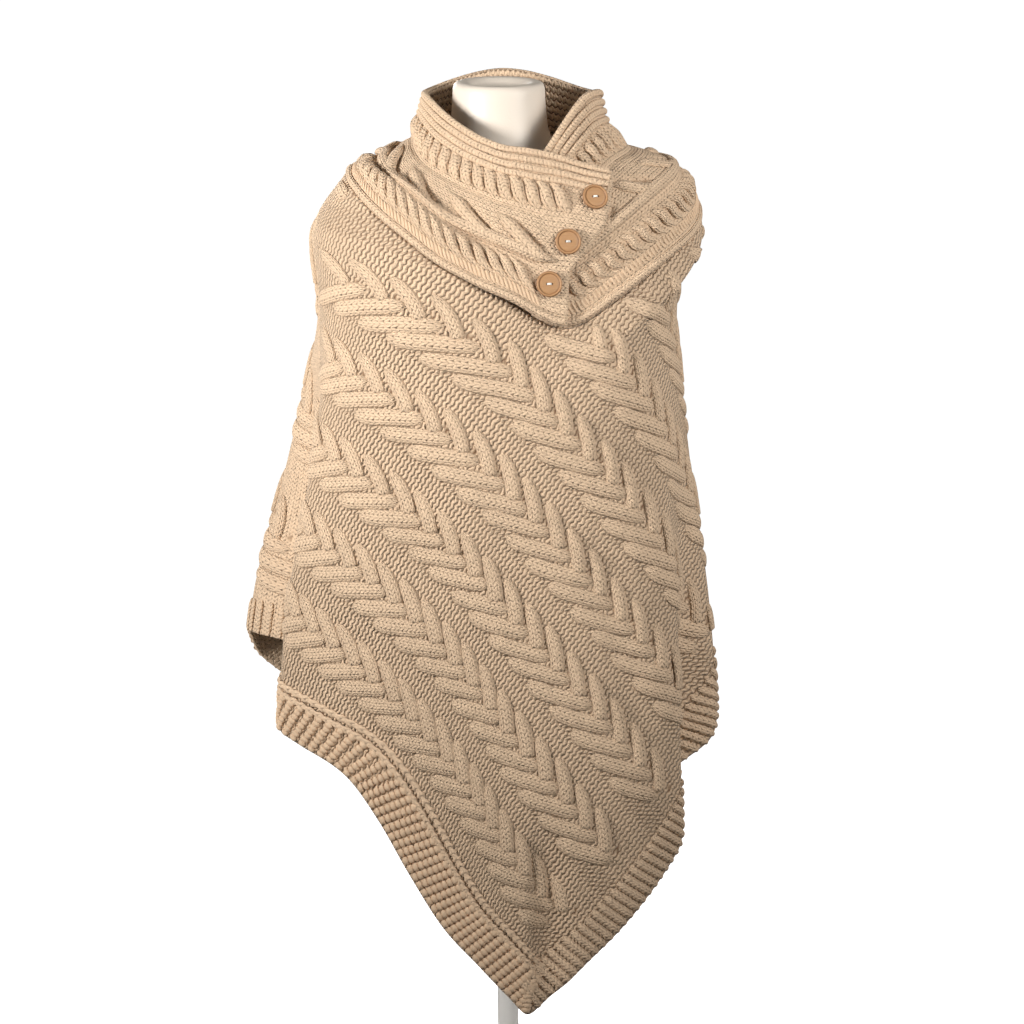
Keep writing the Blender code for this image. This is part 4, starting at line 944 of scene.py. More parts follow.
# %% Arms of the cables
def arm_path(panel, apex, way, start, end, sideways, spread, fade, feet, inward):
    """One arm from its foot to its end, in points along the cloth, or None where little of it is left."""
    length = math.hypot(*way)
    unit = np.array(way) / length
    t = np.linspace(start, end, ARM_POINTS)
    inside = np.array([-abs(unit[1]), -unit[0] * math.copysign(1, -unit[1])])
    flat = np.array([flat_of(*(apex + unit * x + inside * y)) for x, y in zip(t, sideways(t / length))])
    good = (flat[:, 0] > panel.left + .004) & (flat[:, 0] < panel.right - .004)
    good &= flat[:, 1] < panel.top(flat[:, 0]) - 0.003
    good &= clear_of_band(flat, feet, inward, 2 * CORD_HALF_WIDTH + 0.004) > 0
    kept = np.nonzero(good)[0]
    if len(kept) < LEAST_POINTS or len(kept) <= kept[-1] - kept[0]:
        return None
    flat, t = flat[kept], t[kept]
    run = np.minimum((t - t[0]) / fade[0], (t[-1] - t) / fade[1])
    full = 0.12 + 0.88 * np.sqrt(1 - (1 - np.clip(run, 0, 1)) ** 2)
    path = cloth_path(panel, flat, full * spread, t / ARM_STITCH, -GROUND_DEPTH - 0.0008 * (1 - full))
    return {**path, "flat": flat}


def cable_paths(panel):
    feet, inward, _ = band_top(panel)
    arms = {"long": [], "steep": []}
    uneven = np.random.RandomState(11 + panel.turn)

    def curled(t):
        return LONG_ARM_CURL * np.clip((t - 0.5) / 0.5, 0, 1) ** 2

    def bowed(t):
        return -4 * STEEP_ARM_BOW * t * (1 - t)

    for number, shift in COLUMNS:
        over = (number - FIRST_COLUMN_CENTRE) * COLUMN_PITCH
        for step in range(-30, 50):
            apex = np.array([(step + shift) * CABLE_PITCH, over])
            if apex[1] + LONG_ARM[1] > GARTER_EDGE:
                continue
            x, y = flat_of(*apex)
            if not (panel.left - .06 < x < panel.right + .06 and panel.hem(x) - .02 < y < panel.top(x) + .06):
                continue
            apex = apex + uneven.uniform(-1, 1, 2) * UNEVEN_PLACE
            reach = uneven.uniform(-1, 1, 2) * UNEVEN_REACH
            spread = 1 + uneven.uniform(-1, 1, 2) * UNEVEN_SPREAD
            for kind, way, first, sideways, fades, k in (
                ("long", LONG_ARM, -LONG_ARM_PAST, curled, LONG_FADES, 0),
                ("steep", STEEP_ARM, STEEP_HALF_WIDTH * 0.55, bowed, STEEP_FADES, 1),
            ):
                end = math.hypot(*way) + reach[k]
                path = arm_path(panel, apex, way, first, end, sideways, spread[k], fades, feet, inward)
                if path is not None:
                    arms[kind].append(path)
    return arms["long"], arms["steep"]


# %% Cables of both panels
def shade_holes(panel, steep_arms):
    """Paints shade into the ground, and flattens its bump, in the small holes that open beside the foot of
    each steep arm.
    """
    flat = SHELL_FLATS[panel.name]
    shade_mask = np.zeros(len(flat))
    for arm in steep_arms:
        off = (flat - arm["flat"][0] - HOLE_BESIDE_FOOT) / HOLE_SIZE
        shade_mask = np.maximum(shade_mask, np.exp(-(off**2).sum(-1)))
    mark(panel_shells[panel.name], "painted_shade", shade_mask)


panel_extras = {"front_panel": [], "back_panel": []}
for panel in (front, back):
    long_arms, steep_arms = cable_paths(panel)
    shade_holes(panel, steep_arms)
    for kind, arms, half_width, rise, crown in (
        ("_long_arms", long_arms, LONG_HALF_WIDTH, LONG_RISE, 1.5),
        ("_steep_arms", steep_arms, STEEP_HALF_WIDTH, STEEP_RISE, 1.15),
    ):
        panel_extras[panel.name].append(strands(panel.name + kind, arms, half_width, rise, 4.0, crown=crown))

# %% [markdown]
# ## A small blob, repeated
#
# The long edge ends in garter stitch, whose ridges look like rows of beads. Each loop could be modelled,
# but they are all alike: one small blob is put on every point of a mesh and turned to lie on the cloth,
# which is what instances are for.

# %% The bead tree
def bead_tree():
    sizes = [("Length", FLOAT, .0058), ("Width", FLOAT, .0046), ("Height", FLOAT, .0030)]
    m, given, end = shape_tree("garter_beads", sizes)
    blob = m.add("GeometryNodeMeshIcoSphere", {"Radius": 0.5, "Subdivisions": 2})
    size = m.add("ShaderNodeCombineXYZ", {"X": given["Length"], "Y": given["Width"], "Z": given["Height"]})
    inputs = {"Primary Axis": named(m, "out", "FLOAT_VECTOR"),
              "Secondary Axis": named(m, "way", "FLOAT_VECTOR")}
    lying = m.add("FunctionNodeAxesToRotation", inputs, primary_axis="Z", secondary_axis="X")
    inputs = {"Points": given["Geometry"], "Instance": blob.outputs["Mesh"],
              "Rotation": lying.outputs["Rotation"], "Scale": size.outputs[0]}
    put = m.add("GeometryNodeInstanceOnPoints", inputs)
    return end_tree(m, put.outputs["Instances"], given, end)


BEAD_TREE = bead_tree()
print("tree:", BEAD_TREE.name, "with", len(BEAD_TREE.nodes), "nodes")


def beads(name, points, out, way, length, width, height, finish):
    mesh = bpy.data.meshes.new(name)
    mesh.from_pydata([tuple(p) for p in points], [], [])
    for key, values in (("out", out), ("way", way)):
        layer = mesh.attributes.new(key, "FLOAT_VECTOR", "POINT")
        layer.data.foreach_set("vector", np.asarray(values, np.float32).ravel())
    values = {"Length": length, "Width": width, "Height": height, "Material": finish}
    piece = run_tree(name, mesh, BEAD_TREE, values)
    print(name, len(points), "beads,", triangles(piece), "triangles")
    return piece


# %% [markdown]
# ## Hem bands
#
# On the real hem the garter rows end in a two-stitch cord, which parts them from the cables, and the short
# edge ends in ribs of two stitches. The back panel's plain end has finer ribs. Cord and ribs are strands
# like the cables, counted along the hem, so that they stay square to it round the point.

# %% Garter beads, cord and ribs of each hem
GARTER_PITCH, BEAD_PITCH = 0.0092, 0.0050   # between garter rows, and between the beads of one
GARTER_DEPTH = 0.0350                       # how far up the rows reach
BEAD_SIZE = (.0070, .0098, .0070)
TIP_CLEAR = (0.004, 0.020, 0.010)           # how near the point beads, cord and ribs come
CHAIN_STITCH, RIB_STITCH = 0.0080, 0.0042
RIB_PITCH, RIB_RISE = 0.0096, 0.0034
FINE_RIB_PITCH, FINE_RIB_RISE, FINE_RIB_LENGTH = 0.0080, 0.0030, 0.0360
RIB_FADE = 0.004


def hem_beads(panel, tip_at):
    feet, inward, at = band_top(panel, GARTER_PITCH)
    spots, ways = [], []
    for foot, up_way, here in zip(feet, inward, at):
        if here > tip_at + TIP_CLEAR[0]:
            continue
        for k in range(int(GARTER_DEPTH / BEAD_PITCH)):
            flat = foot + up_way * (0.004 + BEAD_PITCH * k)
            if panel.left + .002 < flat[0] < panel.right - .002:
                spots.append(flat)
                ways.append(flat + up_way * 0.002)
    points, out = panel.place(np.array(spots), -GROUND_DEPTH + .0002)
    ahead, _ = panel.place(np.array(ways), -GROUND_DEPTH + .0004)
    return beads(panel.name + "_garter", points, out, ahead - points, *BEAD_SIZE, loop_wool)


def hem_cord(panel, tip_at):
    feet, inward, at = band_top(panel, CHAIN_STITCH / 4)
    keep = (at > 0.012) & (at < tip_at - TIP_CLEAR[1])
    cords = []
    for side in (-0.5, 0.5):
        flat = feet[keep] + inward[keep] * (HEM_BAND + CORD_HALF_WIDTH * (1 + 1.8 * side))
        chain = 0.82 + 0.18 * np.cos(2 * math.pi * at[keep] / CHAIN_STITCH + side)
        cords.append(cloth_path(panel, flat, chain, at[keep] / CHAIN_STITCH))
    return strands(panel.name + "_cord", cords, CORD_HALF_WIDTH, CORD_RISE + .0014, 1.0, 8)


def hem_rib(panel, flat, reach, least):
    run = np.minimum(reach - reach[0], reach[-1] - reach) / RIB_FADE
    return cloth_path(panel, flat, least + (1 - least) * np.clip(run, 0, 1), reach / RIB_STITCH)


def hem_pieces(panel):
    tip_at, plain_from = panel.hem_length[panel.tip], panel.right - PLAIN_END[panel.name]
    made = [hem_beads(panel, tip_at), hem_cord(panel, tip_at)]
    ribs, fine_ribs = [], []
    for foot, up_way, here in zip(*band_top(panel, RIB_PITCH)):
        if here < tip_at + TIP_CLEAR[2] or foot[0] > plain_from:
            continue
        reach = np.linspace(0.0005, HEM_BAND * 0.93, 9)
        flat = foot + up_way * reach[:, None]
        inside = (flat[:, 0] > panel.left + .002) & (flat[:, 0] < panel.right - .002)
        if inside.sum() >= 6:
            ribs.append(hem_rib(panel, flat[inside], reach[inside], 0.55))
    made.append(strands(panel.name + "_ribs", ribs, RIB_PITCH * 0.47, RIB_RISE, 2.0, 10))
    feet, _, _ = band_top(panel, FINE_RIB_PITCH)
    reach = np.linspace(0.0005, FINE_RIB_LENGTH, 7)
    for foot in feet[(feet[:, 0] > plain_from) & (feet[:, 0] < panel.right - .003)]:
        fine_ribs.append(hem_rib(panel, foot + np.stack([0 * reach, reach], -1), reach, 0.5))
    if fine_ribs:
        half_width = FINE_RIB_PITCH * 0.45
        made.append(strands(panel.name + "_fine_ribs", fine_ribs, half_width, FINE_RIB_RISE, 1.0, 8))
    return made


for panel in (front, back):
    panel_extras[panel.name] += hem_pieces(panel)

# %% [markdown]
# ## The cowl strip
#
# The cowl and yoke are one long strip. Laid flat, `s` runs along it from the end that lies beneath to the
# flap's end, and `w` from its rim to its lower edge. The flap lies outside the other end, so the cloth is
# lifted where it laps over.

# %% Edges of the strip
STRIP_WIDTH = 0.150
UNDER_END = 10    # angle where it starts, beneath the flap
FLAP_ENDS = (
    # share of the width from the rim, angle of the flap's end there, one turn on
    (0.0, 414), (.16, 408.5), (.26, 405.5), (.39, 401.5), (.51, 395.5), (.60, 391), (.68, 386.5), (.80, 385),
    (1.0, 383.5),
)
RIM_LEVEL = (
    # angle, level of the strip's rim
    (10, .95), (24, .56), (36, .24), (47, .08), (60, .02), (78, .12), (95, .22), (112, .24), (126, .22),
    (148, .12), (167, .04), (190, 0), (290, 0), (318, .06), (332, .12), (346, .24), (358, .40), (371, .50),
    (381, .64), (391, .84), (400, 1.08), (413, 1.44), (426, 1.75),
)
FLAP_LIFT = 0.0095          # how far the flap lies outside the end beneath it
LIFT_ANGLES = (332, 368)    # and where it lifts
print("the strip goes", FLAP_ENDS[0][1] - UNDER_END, "degrees round")


# %% The strip laid flat
class Strip:
    """The cowl strip laid flat."""

    def __init__(self):
        self.shares = np.linspace(0.0, 1.0, 41)
        self.angles = np.arange(UNDER_END, FLAP_ENDS[0][1] + 8.0, 1.0)
        self.end_length = 0.0
        self.levels = np.array([self.levels_at(a) for a in self.angles])
        radius, _ = smooth_ring(self.angles, self.levels[:, 20])
        self.arcs = np.concatenate([[0.0], np.cumsum((radius[1:] + radius[:-1]) / 2 * math.radians(1.0))])

    def levels_at(self, angle):
        levels = np.linspace(float(through(RIM_LEVEL, angle)), 5.0, 161)
        points = bare_point(np.full(levels.shape, float(angle)), levels)
        lengths = np.concatenate([[0.0], np.cumsum(np.linalg.norm(np.diff(points, axis=0), axis=1))])
        if angle <= FLAP_ENDS[-1][1]:
            self.end_length = float(np.interp(yoke_level(angle), levels, lengths))
        return np.interp(self.shares * self.end_length, lengths, levels)

    def angle(self, s):
        return np.interp(s, self.arcs, self.angles)

    def along(self, angle):
        return np.interp(angle, self.angles, self.arcs)

    def flap_end(self, w):
        return self.along(through(FLAP_ENDS, np.asarray(w) / STRIP_WIDTH))

    def place(self, flat, out):
        flat = np.asarray(flat, float)
        angle = self.angle(flat[..., 0])
        at = np.clip(angle - self.angles[0], 0, len(self.angles) - 1.001)
        i = at.astype(int)
        f = (at - i)[..., None]
        rows = self.levels[i] * (1 - f) + self.levels[i + 1] * f
        share = np.clip(flat[..., 1] / STRIP_WIDTH, 0.0, 1.0) * (len(self.shares) - 1)
        j = np.minimum(share.astype(int), len(self.shares) - 2)
        g = share - j
        near = np.take_along_axis(rows, j[..., None], -1)[..., 0]
        after = np.take_along_axis(rows, j[..., None] + 1, -1)[..., 0]
        level = near * (1 - g) + after * g
        lift = FLAP_LIFT * smooth_step((angle - LIFT_ANGLES[0]) / (LIFT_ANGLES[1] - LIFT_ANGLES[0]))
        normal = outward(angle, level)
        return bare_point(angle, level) + normal * (lift + out)[..., None], normal


strip = Strip()
print("strip", round(float(strip.flap_end(0.0)), 3), "m along its rim")

# %% [markdown]
# ## The plait's swell and creases
#
# The middle of the strip is a wide plait. Its band swells a little over the ground, and where one strand
# dives under the next the cloth is drawn into a crease. Both are heights of the shell itself, which a
# material's bump could not cast shadows with; a mask of painted shade darkens the bottom of each crease,
# the grooves at the plait's edges and the ground under the ropes.

# %% Heights of the strip
ROPES = (
    # distance from the rim, half width, how far a strand runs along it, pitch, a strand's half width and rise
    (0.0405, .0118, .0140, .0148, .0066, .0046),
    (0.1185, .0105, .0290, .0160, .0050, .0042),
)
PLAIT_TOP, PLAIT_FOOT = 0.0580, 0.1035    # distances of the plait's edges from the rim
PLAIT_SWELL = 0.0026
PLAIT_PITCH, PLAIT_RUN = 0.0585, 0.0460   # between its falling strands, and how far each runs
PLAIT_FROM, PLAIT_TO = 0.0690, 0.0945     # where a strand starts and ends across the plait
CREASE_DEPTH, CREASE_WIDTH = 0.0044, 0.0038
CREASE_BESIDE = 0.0080                    # how far a crease lies to the right of its strand
GROOVE_DEPTH, GROOVE_WIDTH = 0.0010, 0.0016
BUTTON_BAND = 0.034                       # plain cloth at the flap's end


def ruler(w):
    """Places along the strip at one distance from its rim, and the true length of cloth up to them."""
    s = np.linspace(0.0, float(strip.flap_end(w)), 500)
    points, _ = strip.place(np.stack([s, np.full(len(s), w)], -1), np.zeros(len(s)))
    return s, np.concatenate([[0.0], np.cumsum(np.linalg.norm(np.diff(points, axis=0), axis=1))])


PLAIT_RULER = ruler((PLAIT_TOP + PLAIT_FOOT) / 2)
PLAIT_END = PLAIT_RULER[1][-1] - BUTTON_BAND - 0.006
PLAIT_STARTS = PLAIT_END - 0.058 - PLAIT_PITCH * np.arange(14)


def falling(first, t, right=0.0):
    """A strand that falls across the plait, or a line beside it: cloth length and distance from the rim."""
    run = first + PLAIT_RUN * t
    w = PLAIT_FROM + (PLAIT_TO - PLAIT_FROM) * smooth_step(0.12 + 0.80 * t)
    return run + right * 0.50, w - right * 0.86


def plait_relief(flat):
    """The plait's height over the ground, and the painted shade of its creases, its edge grooves and the
    ground under the ropes.
    """
    run = np.interp(flat[..., 0], *PLAIT_RULER)
    w = flat[..., 1]
    ends = smooth_step((PLAIT_END - run) / 0.014) * smooth_step(run / 0.01)
    half = (PLAIT_FOOT - PLAIT_TOP) / 2
    off = np.clip(np.abs(w - PLAIT_TOP - half) / half, 0, 1)
    height = PLAIT_SWELL * (1 - off**4)
    groove = sum(np.exp(-(((w - edge) / GROOVE_WIDTH) ** 2)) for edge in (PLAIT_TOP, PLAIT_FOOT))
    height = height - GROOVE_DEPTH * groove
    # Painted shade in the grooves at the plait's edges.
    painted_shade = 0.55 * groove
    for first in PLAIT_STARTS:
        t = np.linspace(0.30, 1.0, 12)
        x, y = falling(first, t, CREASE_BESIDE)
        far = np.hypot(run[..., None] - x, w[..., None] - y)
        depth = np.max(np.exp(-((far / CREASE_WIDTH) ** 2)) * smooth_step((t - 0.2) / 0.5), axis=-1)
        height = height - CREASE_DEPTH * depth
        # Painted shade at the bottom of each crease.
        painted_shade = np.maximum(painted_shade, depth**3)
    # Painted shade on the ground under the two ropes.
    ropes = sum(smooth_step((half + 0.001 - np.abs(w - middle)) / 0.003) for middle, half, *_ in ROPES)
    return height * ends, np.maximum(painted_shade, 0.55 * ropes) * ends


print("the plait ends", round(float(PLAIT_END), 3), "m along the strip")

# %% [markdown]
# ## The strip's shell
#
# The same wall as the panels', on a grid from the rim to the lower edge. Its outside is stocking stitch and
# its inside, which shows in the cowl, is purl.

# %% Collar shell
STRIP_CELL = 0.0023
STRIP_STITCH, STRIP_LINING_STITCH = (0.0042, 0.0046), (0.0078, 0.0072)


def strip_shell():
    rows = 2 * round(STRIP_WIDTH / STRIP_CELL / 2) + 1
    columns = 2 * round(float(strip.flap_end(0.0)) / STRIP_CELL / 2) + 1
    w = np.linspace(0.0, STRIP_WIDTH, rows)
    s = np.linspace(0.0, 1.0, columns)[:, None] * strip.flap_end(w)
    flat = np.stack([s, np.broadcast_to(w, s.shape)], -1)
    height, painted_shade = plait_relief(flat)
    uv = corners(flat / STRIP_STITCH), corners(flat[::2, ::2, ::-1] / STRIP_LINING_STITCH, inwards=True)
    piece = shell("collar_knit", strip, flat, height, uv, stocking_wool, purl_wool)
    mark(piece, "painted_shade", painted_shade)
    return piece


collar_shell = strip_shell()
print("collar shell", triangles(collar_shell), "triangles")

# %% [markdown]
# ## Ropes, ridges, plait and cord of the strip
#
# From the rim down the real strip has four ridges, a rope of two stitches, the plait, a second rope, short
# purl bars and a cord. A rope is a row of short strands that lean over it, each dipping under its
# neighbours at both ends. The plait is drawn by strands that fall across its band, and one that runs along
# its foot.

# %% Paths along the strip
RIM_RIBS = (0.0032, 0.0108, 0.0184, 0.0258)    # distance of each ridge from the rim
RIB_END = 0.003                                # how near the flap's end ridges and cord come
FOOT_STRAND = PLAIT_FOOT - 0.0082
BAR_PITCH, BAR_MIDDLE, BAR_HALF_LENGTH, BAR_LEAN = 0.0050, 0.1352, 0.0042, 0.0025
CORD_FROM_RIM = 0.1455
ROPE_STITCH, PLAIT_STITCH, CORD_STITCH = 0.0041, 0.0042, 0.0046


def straight_path(w, stitch):
    s, lengths = ruler(w)
    run = np.arange(0.004, lengths[-1] - RIB_END, 0.005)
    flat = np.stack([np.interp(run, lengths, s), np.full(len(run), w)], -1)
    return cloth_path(strip, flat, np.ones(len(run)), run / stitch)


def rope_paths(w, half, lean, pitch, rise):
    s, lengths = ruler(w)
    t = np.linspace(-1, 1, 13)
    arch = np.cos(t * math.pi / 2)
    height = -GROUND_DEPTH - 0.0024 + (rise - 0.0006) * arch
    stitches = (t + 1) * math.hypot(half, lean / 2) / ROPE_STITCH
    paths = []
    for centre in np.arange(0.012, lengths[-1] - BUTTON_BAND - lean / 2, pitch):
        run = centre + lean / 2 * (t - 0.22 * np.sin(t * math.pi))
        flat = np.stack([np.interp(run, lengths, s), w + half * t], -1)
        paths.append(cloth_path(strip, flat, 0.72 + 0.28 * arch, stitches, height))
    return paths


def plait_paths():
    lengths, s = PLAIT_RULER[1], PLAIT_RULER[0]
    paths = []
    t = np.linspace(0, 1.12, 19)
    swell = 0.25 + 0.75 * smooth_step(t / 0.35) * (0.6 + 0.4 * smooth_step((1.12 - t) / 0.3))
    for first in PLAIT_STARTS:
        run, w = falling(first, t)
        kept = (run > 0.006) & (run < PLAIT_END)
        if kept.sum() > 6:
            flat = np.stack([np.interp(run, lengths, s), w], -1)[kept]
            height, _ = plait_relief(flat)
            stitches = run[kept] / PLAIT_STITCH
            paths.append(cloth_path(strip, flat, swell[kept], stitches, height - GROUND_DEPTH - 0.0004))
    run = np.arange(0.004, PLAIT_END + 0.006, 0.004)
    flat = np.stack([np.interp(run, lengths, s), np.full(len(run), FOOT_STRAND)], -1)
    full = np.clip((PLAIT_END + 0.008 - run) / 0.02, 0.3, 1)
    return paths + [cloth_path(strip, flat, full, run / PLAIT_STITCH, -GROUND_DEPTH + 0.0016)]


def bar_paths():
    s, lengths = ruler(0.135)
    t = np.linspace(-1, 1, 6)
    paths = []
    for here in np.arange(0.006, lengths[-1] - BUTTON_BAND, BAR_PITCH):
        flat = np.stack([np.interp(here + t * BAR_LEAN, lengths, s), BAR_MIDDLE + BAR_HALF_LENGTH * t], -1)
        paths.append(cloth_path(strip, flat, 0.55 + 0.45 * np.cos(t * math.pi / 2), t))
    return paths


# %% Strands of the strip
ridges = [straight_path(w, PLAIT_STITCH) for w in RIM_RIBS]
collar_extras = [strands("collar_rim_ridges", ridges, 0.0037, 0.0034, 1.0, 10)]
for number, (w, half, lean, pitch, width, rise) in enumerate(ROPES, 1):
    rope = rope_paths(w, half, lean, pitch, rise)
    collar_extras.append(strands(f"collar_rope_{number}", rope, width, rise, 2.4))
collar_extras += [
    strands("collar_plait", plait_paths(), 0.0068, 0.0046, 3.0, crown=1.0),
    strands("collar_purl_bars", bar_paths(), 0.0017, 0.0013, 0.5, 8, finish=loop_wool),
    strands("collar_cord", [straight_path(CORD_FROM_RIM, CORD_STITCH)], 0.0040, 0.0026, 2.0),
]

# %% [markdown]
# ## The dress form
#
# The form is a smooth moulded body. It is lofted from the same sections as the solid, with many more sides,
# and its neck ends in a shallow dish with a small locating nub. A sculpted body would do as well, but only
# sections keep it clear of the cloth for certain.

# %% Sections of the form
FORM = (
    # name, half width, front, back, height, middle, roundness
    ("cap", .0475, .0475, .0475, 1.044, -.0095, 2.0),
    ("neck", .0490, .0490, .0490, 1.018, -.0095, 2.0),
    ("throat", .0530, .0510, .0530, .990, -.0085, 2.0),
    ("neck foot", .0700, .0570, .0600, .966, -.0050, 2.0),
    ("collar bone", .1150, .0700, .0740, .947, .0, 2.1),
    ("shoulder", .1480, .0840, .0860, .928, .0, 2.2),
    ("arm top", .1660, .1000, .1000, .894, .0, 2.3),
    ("arm", .1680, .1160, .1080, .850, .0, 2.3),
    ("bust", .1580, .1300, .1120, .780, .0, 2.3),
    ("under bust", .1520, .1200, .1060, .690, .0, 2.2),
    ("waist", .1330, .1020, .0960, .590, .0, 2.2),
    ("hip", .1500, .1120, .1080, .470, .0, 2.2),
    ("hem", .1520, .1100, .1080, .392, .0, 2.2),
    ("turn", .1440, .1020, .1000, .378, .0, 2.2),
)
FORM_SIDES = 96
CAP_TILT = 0.09     # slope of the neck's top towards the front
TILT_FROM = 0.98    # the height where the neck's rings start to tilt with it
CAP_RINGS = (
    # radius of each ring of the dished cap, from its middle out, and its height over the cap's edge
    (.0040, -.0040), (.0080, -.0062), (.0180, -.0060), (.0240, -.0050), (.0285, -.0024), (.0315, .0002),
    (.0370, .0014), (.0415, .0014), (.0446, .0006), (.0466, -.0014), (.0475, -.0042),
)


def form_ring(row, tilt, grow=0.0, raise_by=0.0):
    half_width, ahead_reach, back_reach, z, middle, power = row
    ring = []
    for i in range(FORM_SIDES):
        a = 2 * math.pi * i / FORM_SIDES
        side, ahead = math.sin(a), math.cos(a)
        depth = (ahead_reach if ahead > 0 else back_reach) + grow
        radius = (abs(side / (half_width + grow)) ** power + abs(ahead / depth) ** power) ** (-1 / power)
        y = -radius * ahead
        ring.append((middle + radius * side, y, z + raise_by + tilt * y))
    return ring


def turned_faces(rings, sides):
    faces = []
    for k in range(rings - 1):
        for i in range(sides):
            j = (i + 1) % sides
            faces.append((k * sides + i, (k + 1) * sides + i, (k + 1) * sides + j, k * sides + j))
    faces.append(tuple(range(sides)))
    faces.append(tuple((rings - 1) * sides + i for i in reversed(range(sides))))
    return faces


# %% Painted finishes
def painted(name, colour, roughness, grain, bump):
    """A moulded or painted finish: faint unevenness in its colour, gloss and surface."""
    made, m, shader = new_finish(name)
    place = m.place()
    broad, fine = m.noise(place, 14.0, 3.0), m.noise(place, grain, 2.0)
    shade = m.blend(broad, tuple(c * 0.90 for c in colour), colour)
    m.feed(shader, shade, m.do("MULTIPLY_ADD", fine, 0.18, roughness - 0.09), fine, bump)
    return made


form_white = painted("form_white", (0.76, 0.68, 0.59), 0.48, 420.0, 0.0002)
stand_white = painted("stand_white_enamel", (0.84, 0.83, 0.81), 0.34, 700.0, 0.0001)
print("painted finishes:", form_white.name, stand_white.name)


# %% Dress form
def dress_form():
    cap = FORM[0][1:]
    rings = [form_ring(cap, CAP_TILT, radius - cap[0], rise) for radius, rise in CAP_RINGS]
    rows = np.array([row[1:] for row in FORM], float)
    station = np.arange(len(rows), dtype=float)
    for x in np.arange(0.25, len(rows) - 1 + 1e-6, 0.25):
        row = [float(through(list(zip(station, rows[:, c])), x)) for c in range(6)]
        tilt = CAP_TILT * max(0.0, (row[3] - TILT_FROM) / (cap[3] - TILT_FROM))
        rings.append(form_ring(row, tilt))
    points = [p for ring in rings for p in ring]
    piece = mesh_piece("dress_form_body", points, turned_faces(len(rings), FORM_SIDES), form_white)
    return turned_out(piece)


form_piece = dress_form()
print("dress form", triangles(form_piece), "triangles")

# %% [markdown]
# ## Pole and foot
#
# A steel pole stands in a cast foot with a soft edge. Both are turned shapes, so each is a short profile of
# radius and height, swept round the axis.

# %% Pole and foot
def lathe(name, profile, sides, finish):
    points = [
        (r * math.cos(2 * math.pi * i / sides), r * math.sin(2 * math.pi * i / sides), z)
        for r, z in profile
        for i in range(sides)
    ]
    piece = turned_out(mesh_piece(name, points, turned_faces(len(profile), sides), finish))
    print(name, triangles(piece), "triangles")
    return piece


FOOT_PROFILE = (
    (.0150, .0340), (.0220, .0340), (.0245, .0332), (.0258, .0310), (.0262, .0280), (.0270, .0230),
    (.0295, .0190), (.0340, .0165), (.0500, .0148), (.1000, .0106), (.1380, .0078), (.1460, .0066),
    (.1490, .0048), (.1500, .0025), (.1500, .0008), (.1492, .0000),
)
POLE_PROFILE = ((.0100, .3777), (.0110, .3770), (.0110, .0350), (.0104, .0343))
foot_piece = lathe("foot_turned", FOOT_PROFILE, 96, stand_white)
pole_piece = lathe("pole_turned", POLE_PROFILE, 40, stand_white)

# %% [markdown]
# ## Wooden buttons
#
# Each button is turned from light wood: a rounded rim ring, a shallow groove inside it and a flat middle
# with two holes, sewn on with white thread. The solids already have the right form; these copies have a
# finer turned profile. The holes are cut with Boolean modifiers.

# %% Button wood
GROOVE_RADIUS = 0.0104    # the turned groove inside the rim
EDGE_RADIUS = 0.0121      # where the rounded edge begins


def button_wood():
    made, m, shader = new_finish("button_wood_turned")
    shader.inputs["Specular IOR Level"].default_value = 0.35
    uv = m.uv()
    parts = m.parts(uv)
    stretch = m.add("ShaderNodeMapping", {"Scale": (90.0, 900.0, 1.0), "Vector": uv})
    grain = m.noise(stretch.outputs["Vector"], 1.0, 4.0, 0.6)
    flecks = m.noise(uv, 1400.0, 2.0)
    radius = m.do("SQRT", m.do("ADD", m.do("POWER", parts["X"], 2.0), m.do("POWER", parts["Y"], 2.0)))
    # Painted shade: the colour darkens in the turned groove inside the rim and over the rounded edge.
    off = m.do("ABSOLUTE", m.do("SUBTRACT", radius, GROOVE_RADIUS))
    ring = m.do("SUBTRACT", 1.0, m.do("MULTIPLY", off, 1600.0, clamp=True))
    edge = m.do("MULTIPLY", m.do("SUBTRACT", radius, EDGE_RADIUS), 900.0, clamp=True)
    base = m.blend(grain, (.34, .175, .075), (.51, .305, .155))
    base = m.blend(m.do("MULTIPLY", flecks, 0.25), base, (.24, .11, .045))
    shade_mask = m.do("MAXIMUM", m.do("MULTIPLY", ring, 0.75), m.do("MULTIPLY", edge, 0.6))
    shade = m.blend(shade_mask, base, (.20, .085, .035))
    m.feed(shader, shade, m.do("MULTIPLY_ADD", grain, 0.2, 0.42), grain, 0.0002)
    return made


wood = button_wood()
print("wood:", wood.name)

# %% [markdown]
# ## Turning and placing the buttons
#
# A button's place is a share of the strip's width and a distance from the flap's end. Its own axes come
# from the cloth around that place, so it lies on the flap at the right tilt. The profile is turned like the
# foot's.

# %% Places of the buttons
BUTTONS = (
    # name, share of the strip's width, distance from the flap's end
    ("button_1", .23, .0155), ("button_2", .52, .0205), ("button_3", .78, .0183),
)
BUTTON_THICKNESS, BUTTON_LIFT = 0.0042, 0.0014
HOLE_RADIUS, HOLE_OFFSET = 0.0012, 0.0024


def button_frame(share, inset):
    """A button's middle and its own axes on the flap."""
    w = share * STRIP_WIDTH
    s = float(strip.flap_end(w)) - inset
    around, _ = strip.place(
        np.array([(s, w), (s - .008, w), (s + .008, w), (s, w - .008), (s, w + .008)]), np.zeros(5)
    )
    axis = Vector(around[4] - around[3]).cross(Vector(around[2] - around[1])).normalized()
    middle = Vector(around[0]) + axis * (BUTTON_LIFT + BUTTON_THICKNESS / 2 - GROUND_DEPTH)
    across = Vector((0, 0, 1)).cross(axis).normalized()
    turn = Matrix((across, axis.cross(across), axis)).transposed().to_4x4()
    return Matrix.Translation(middle) @ turn


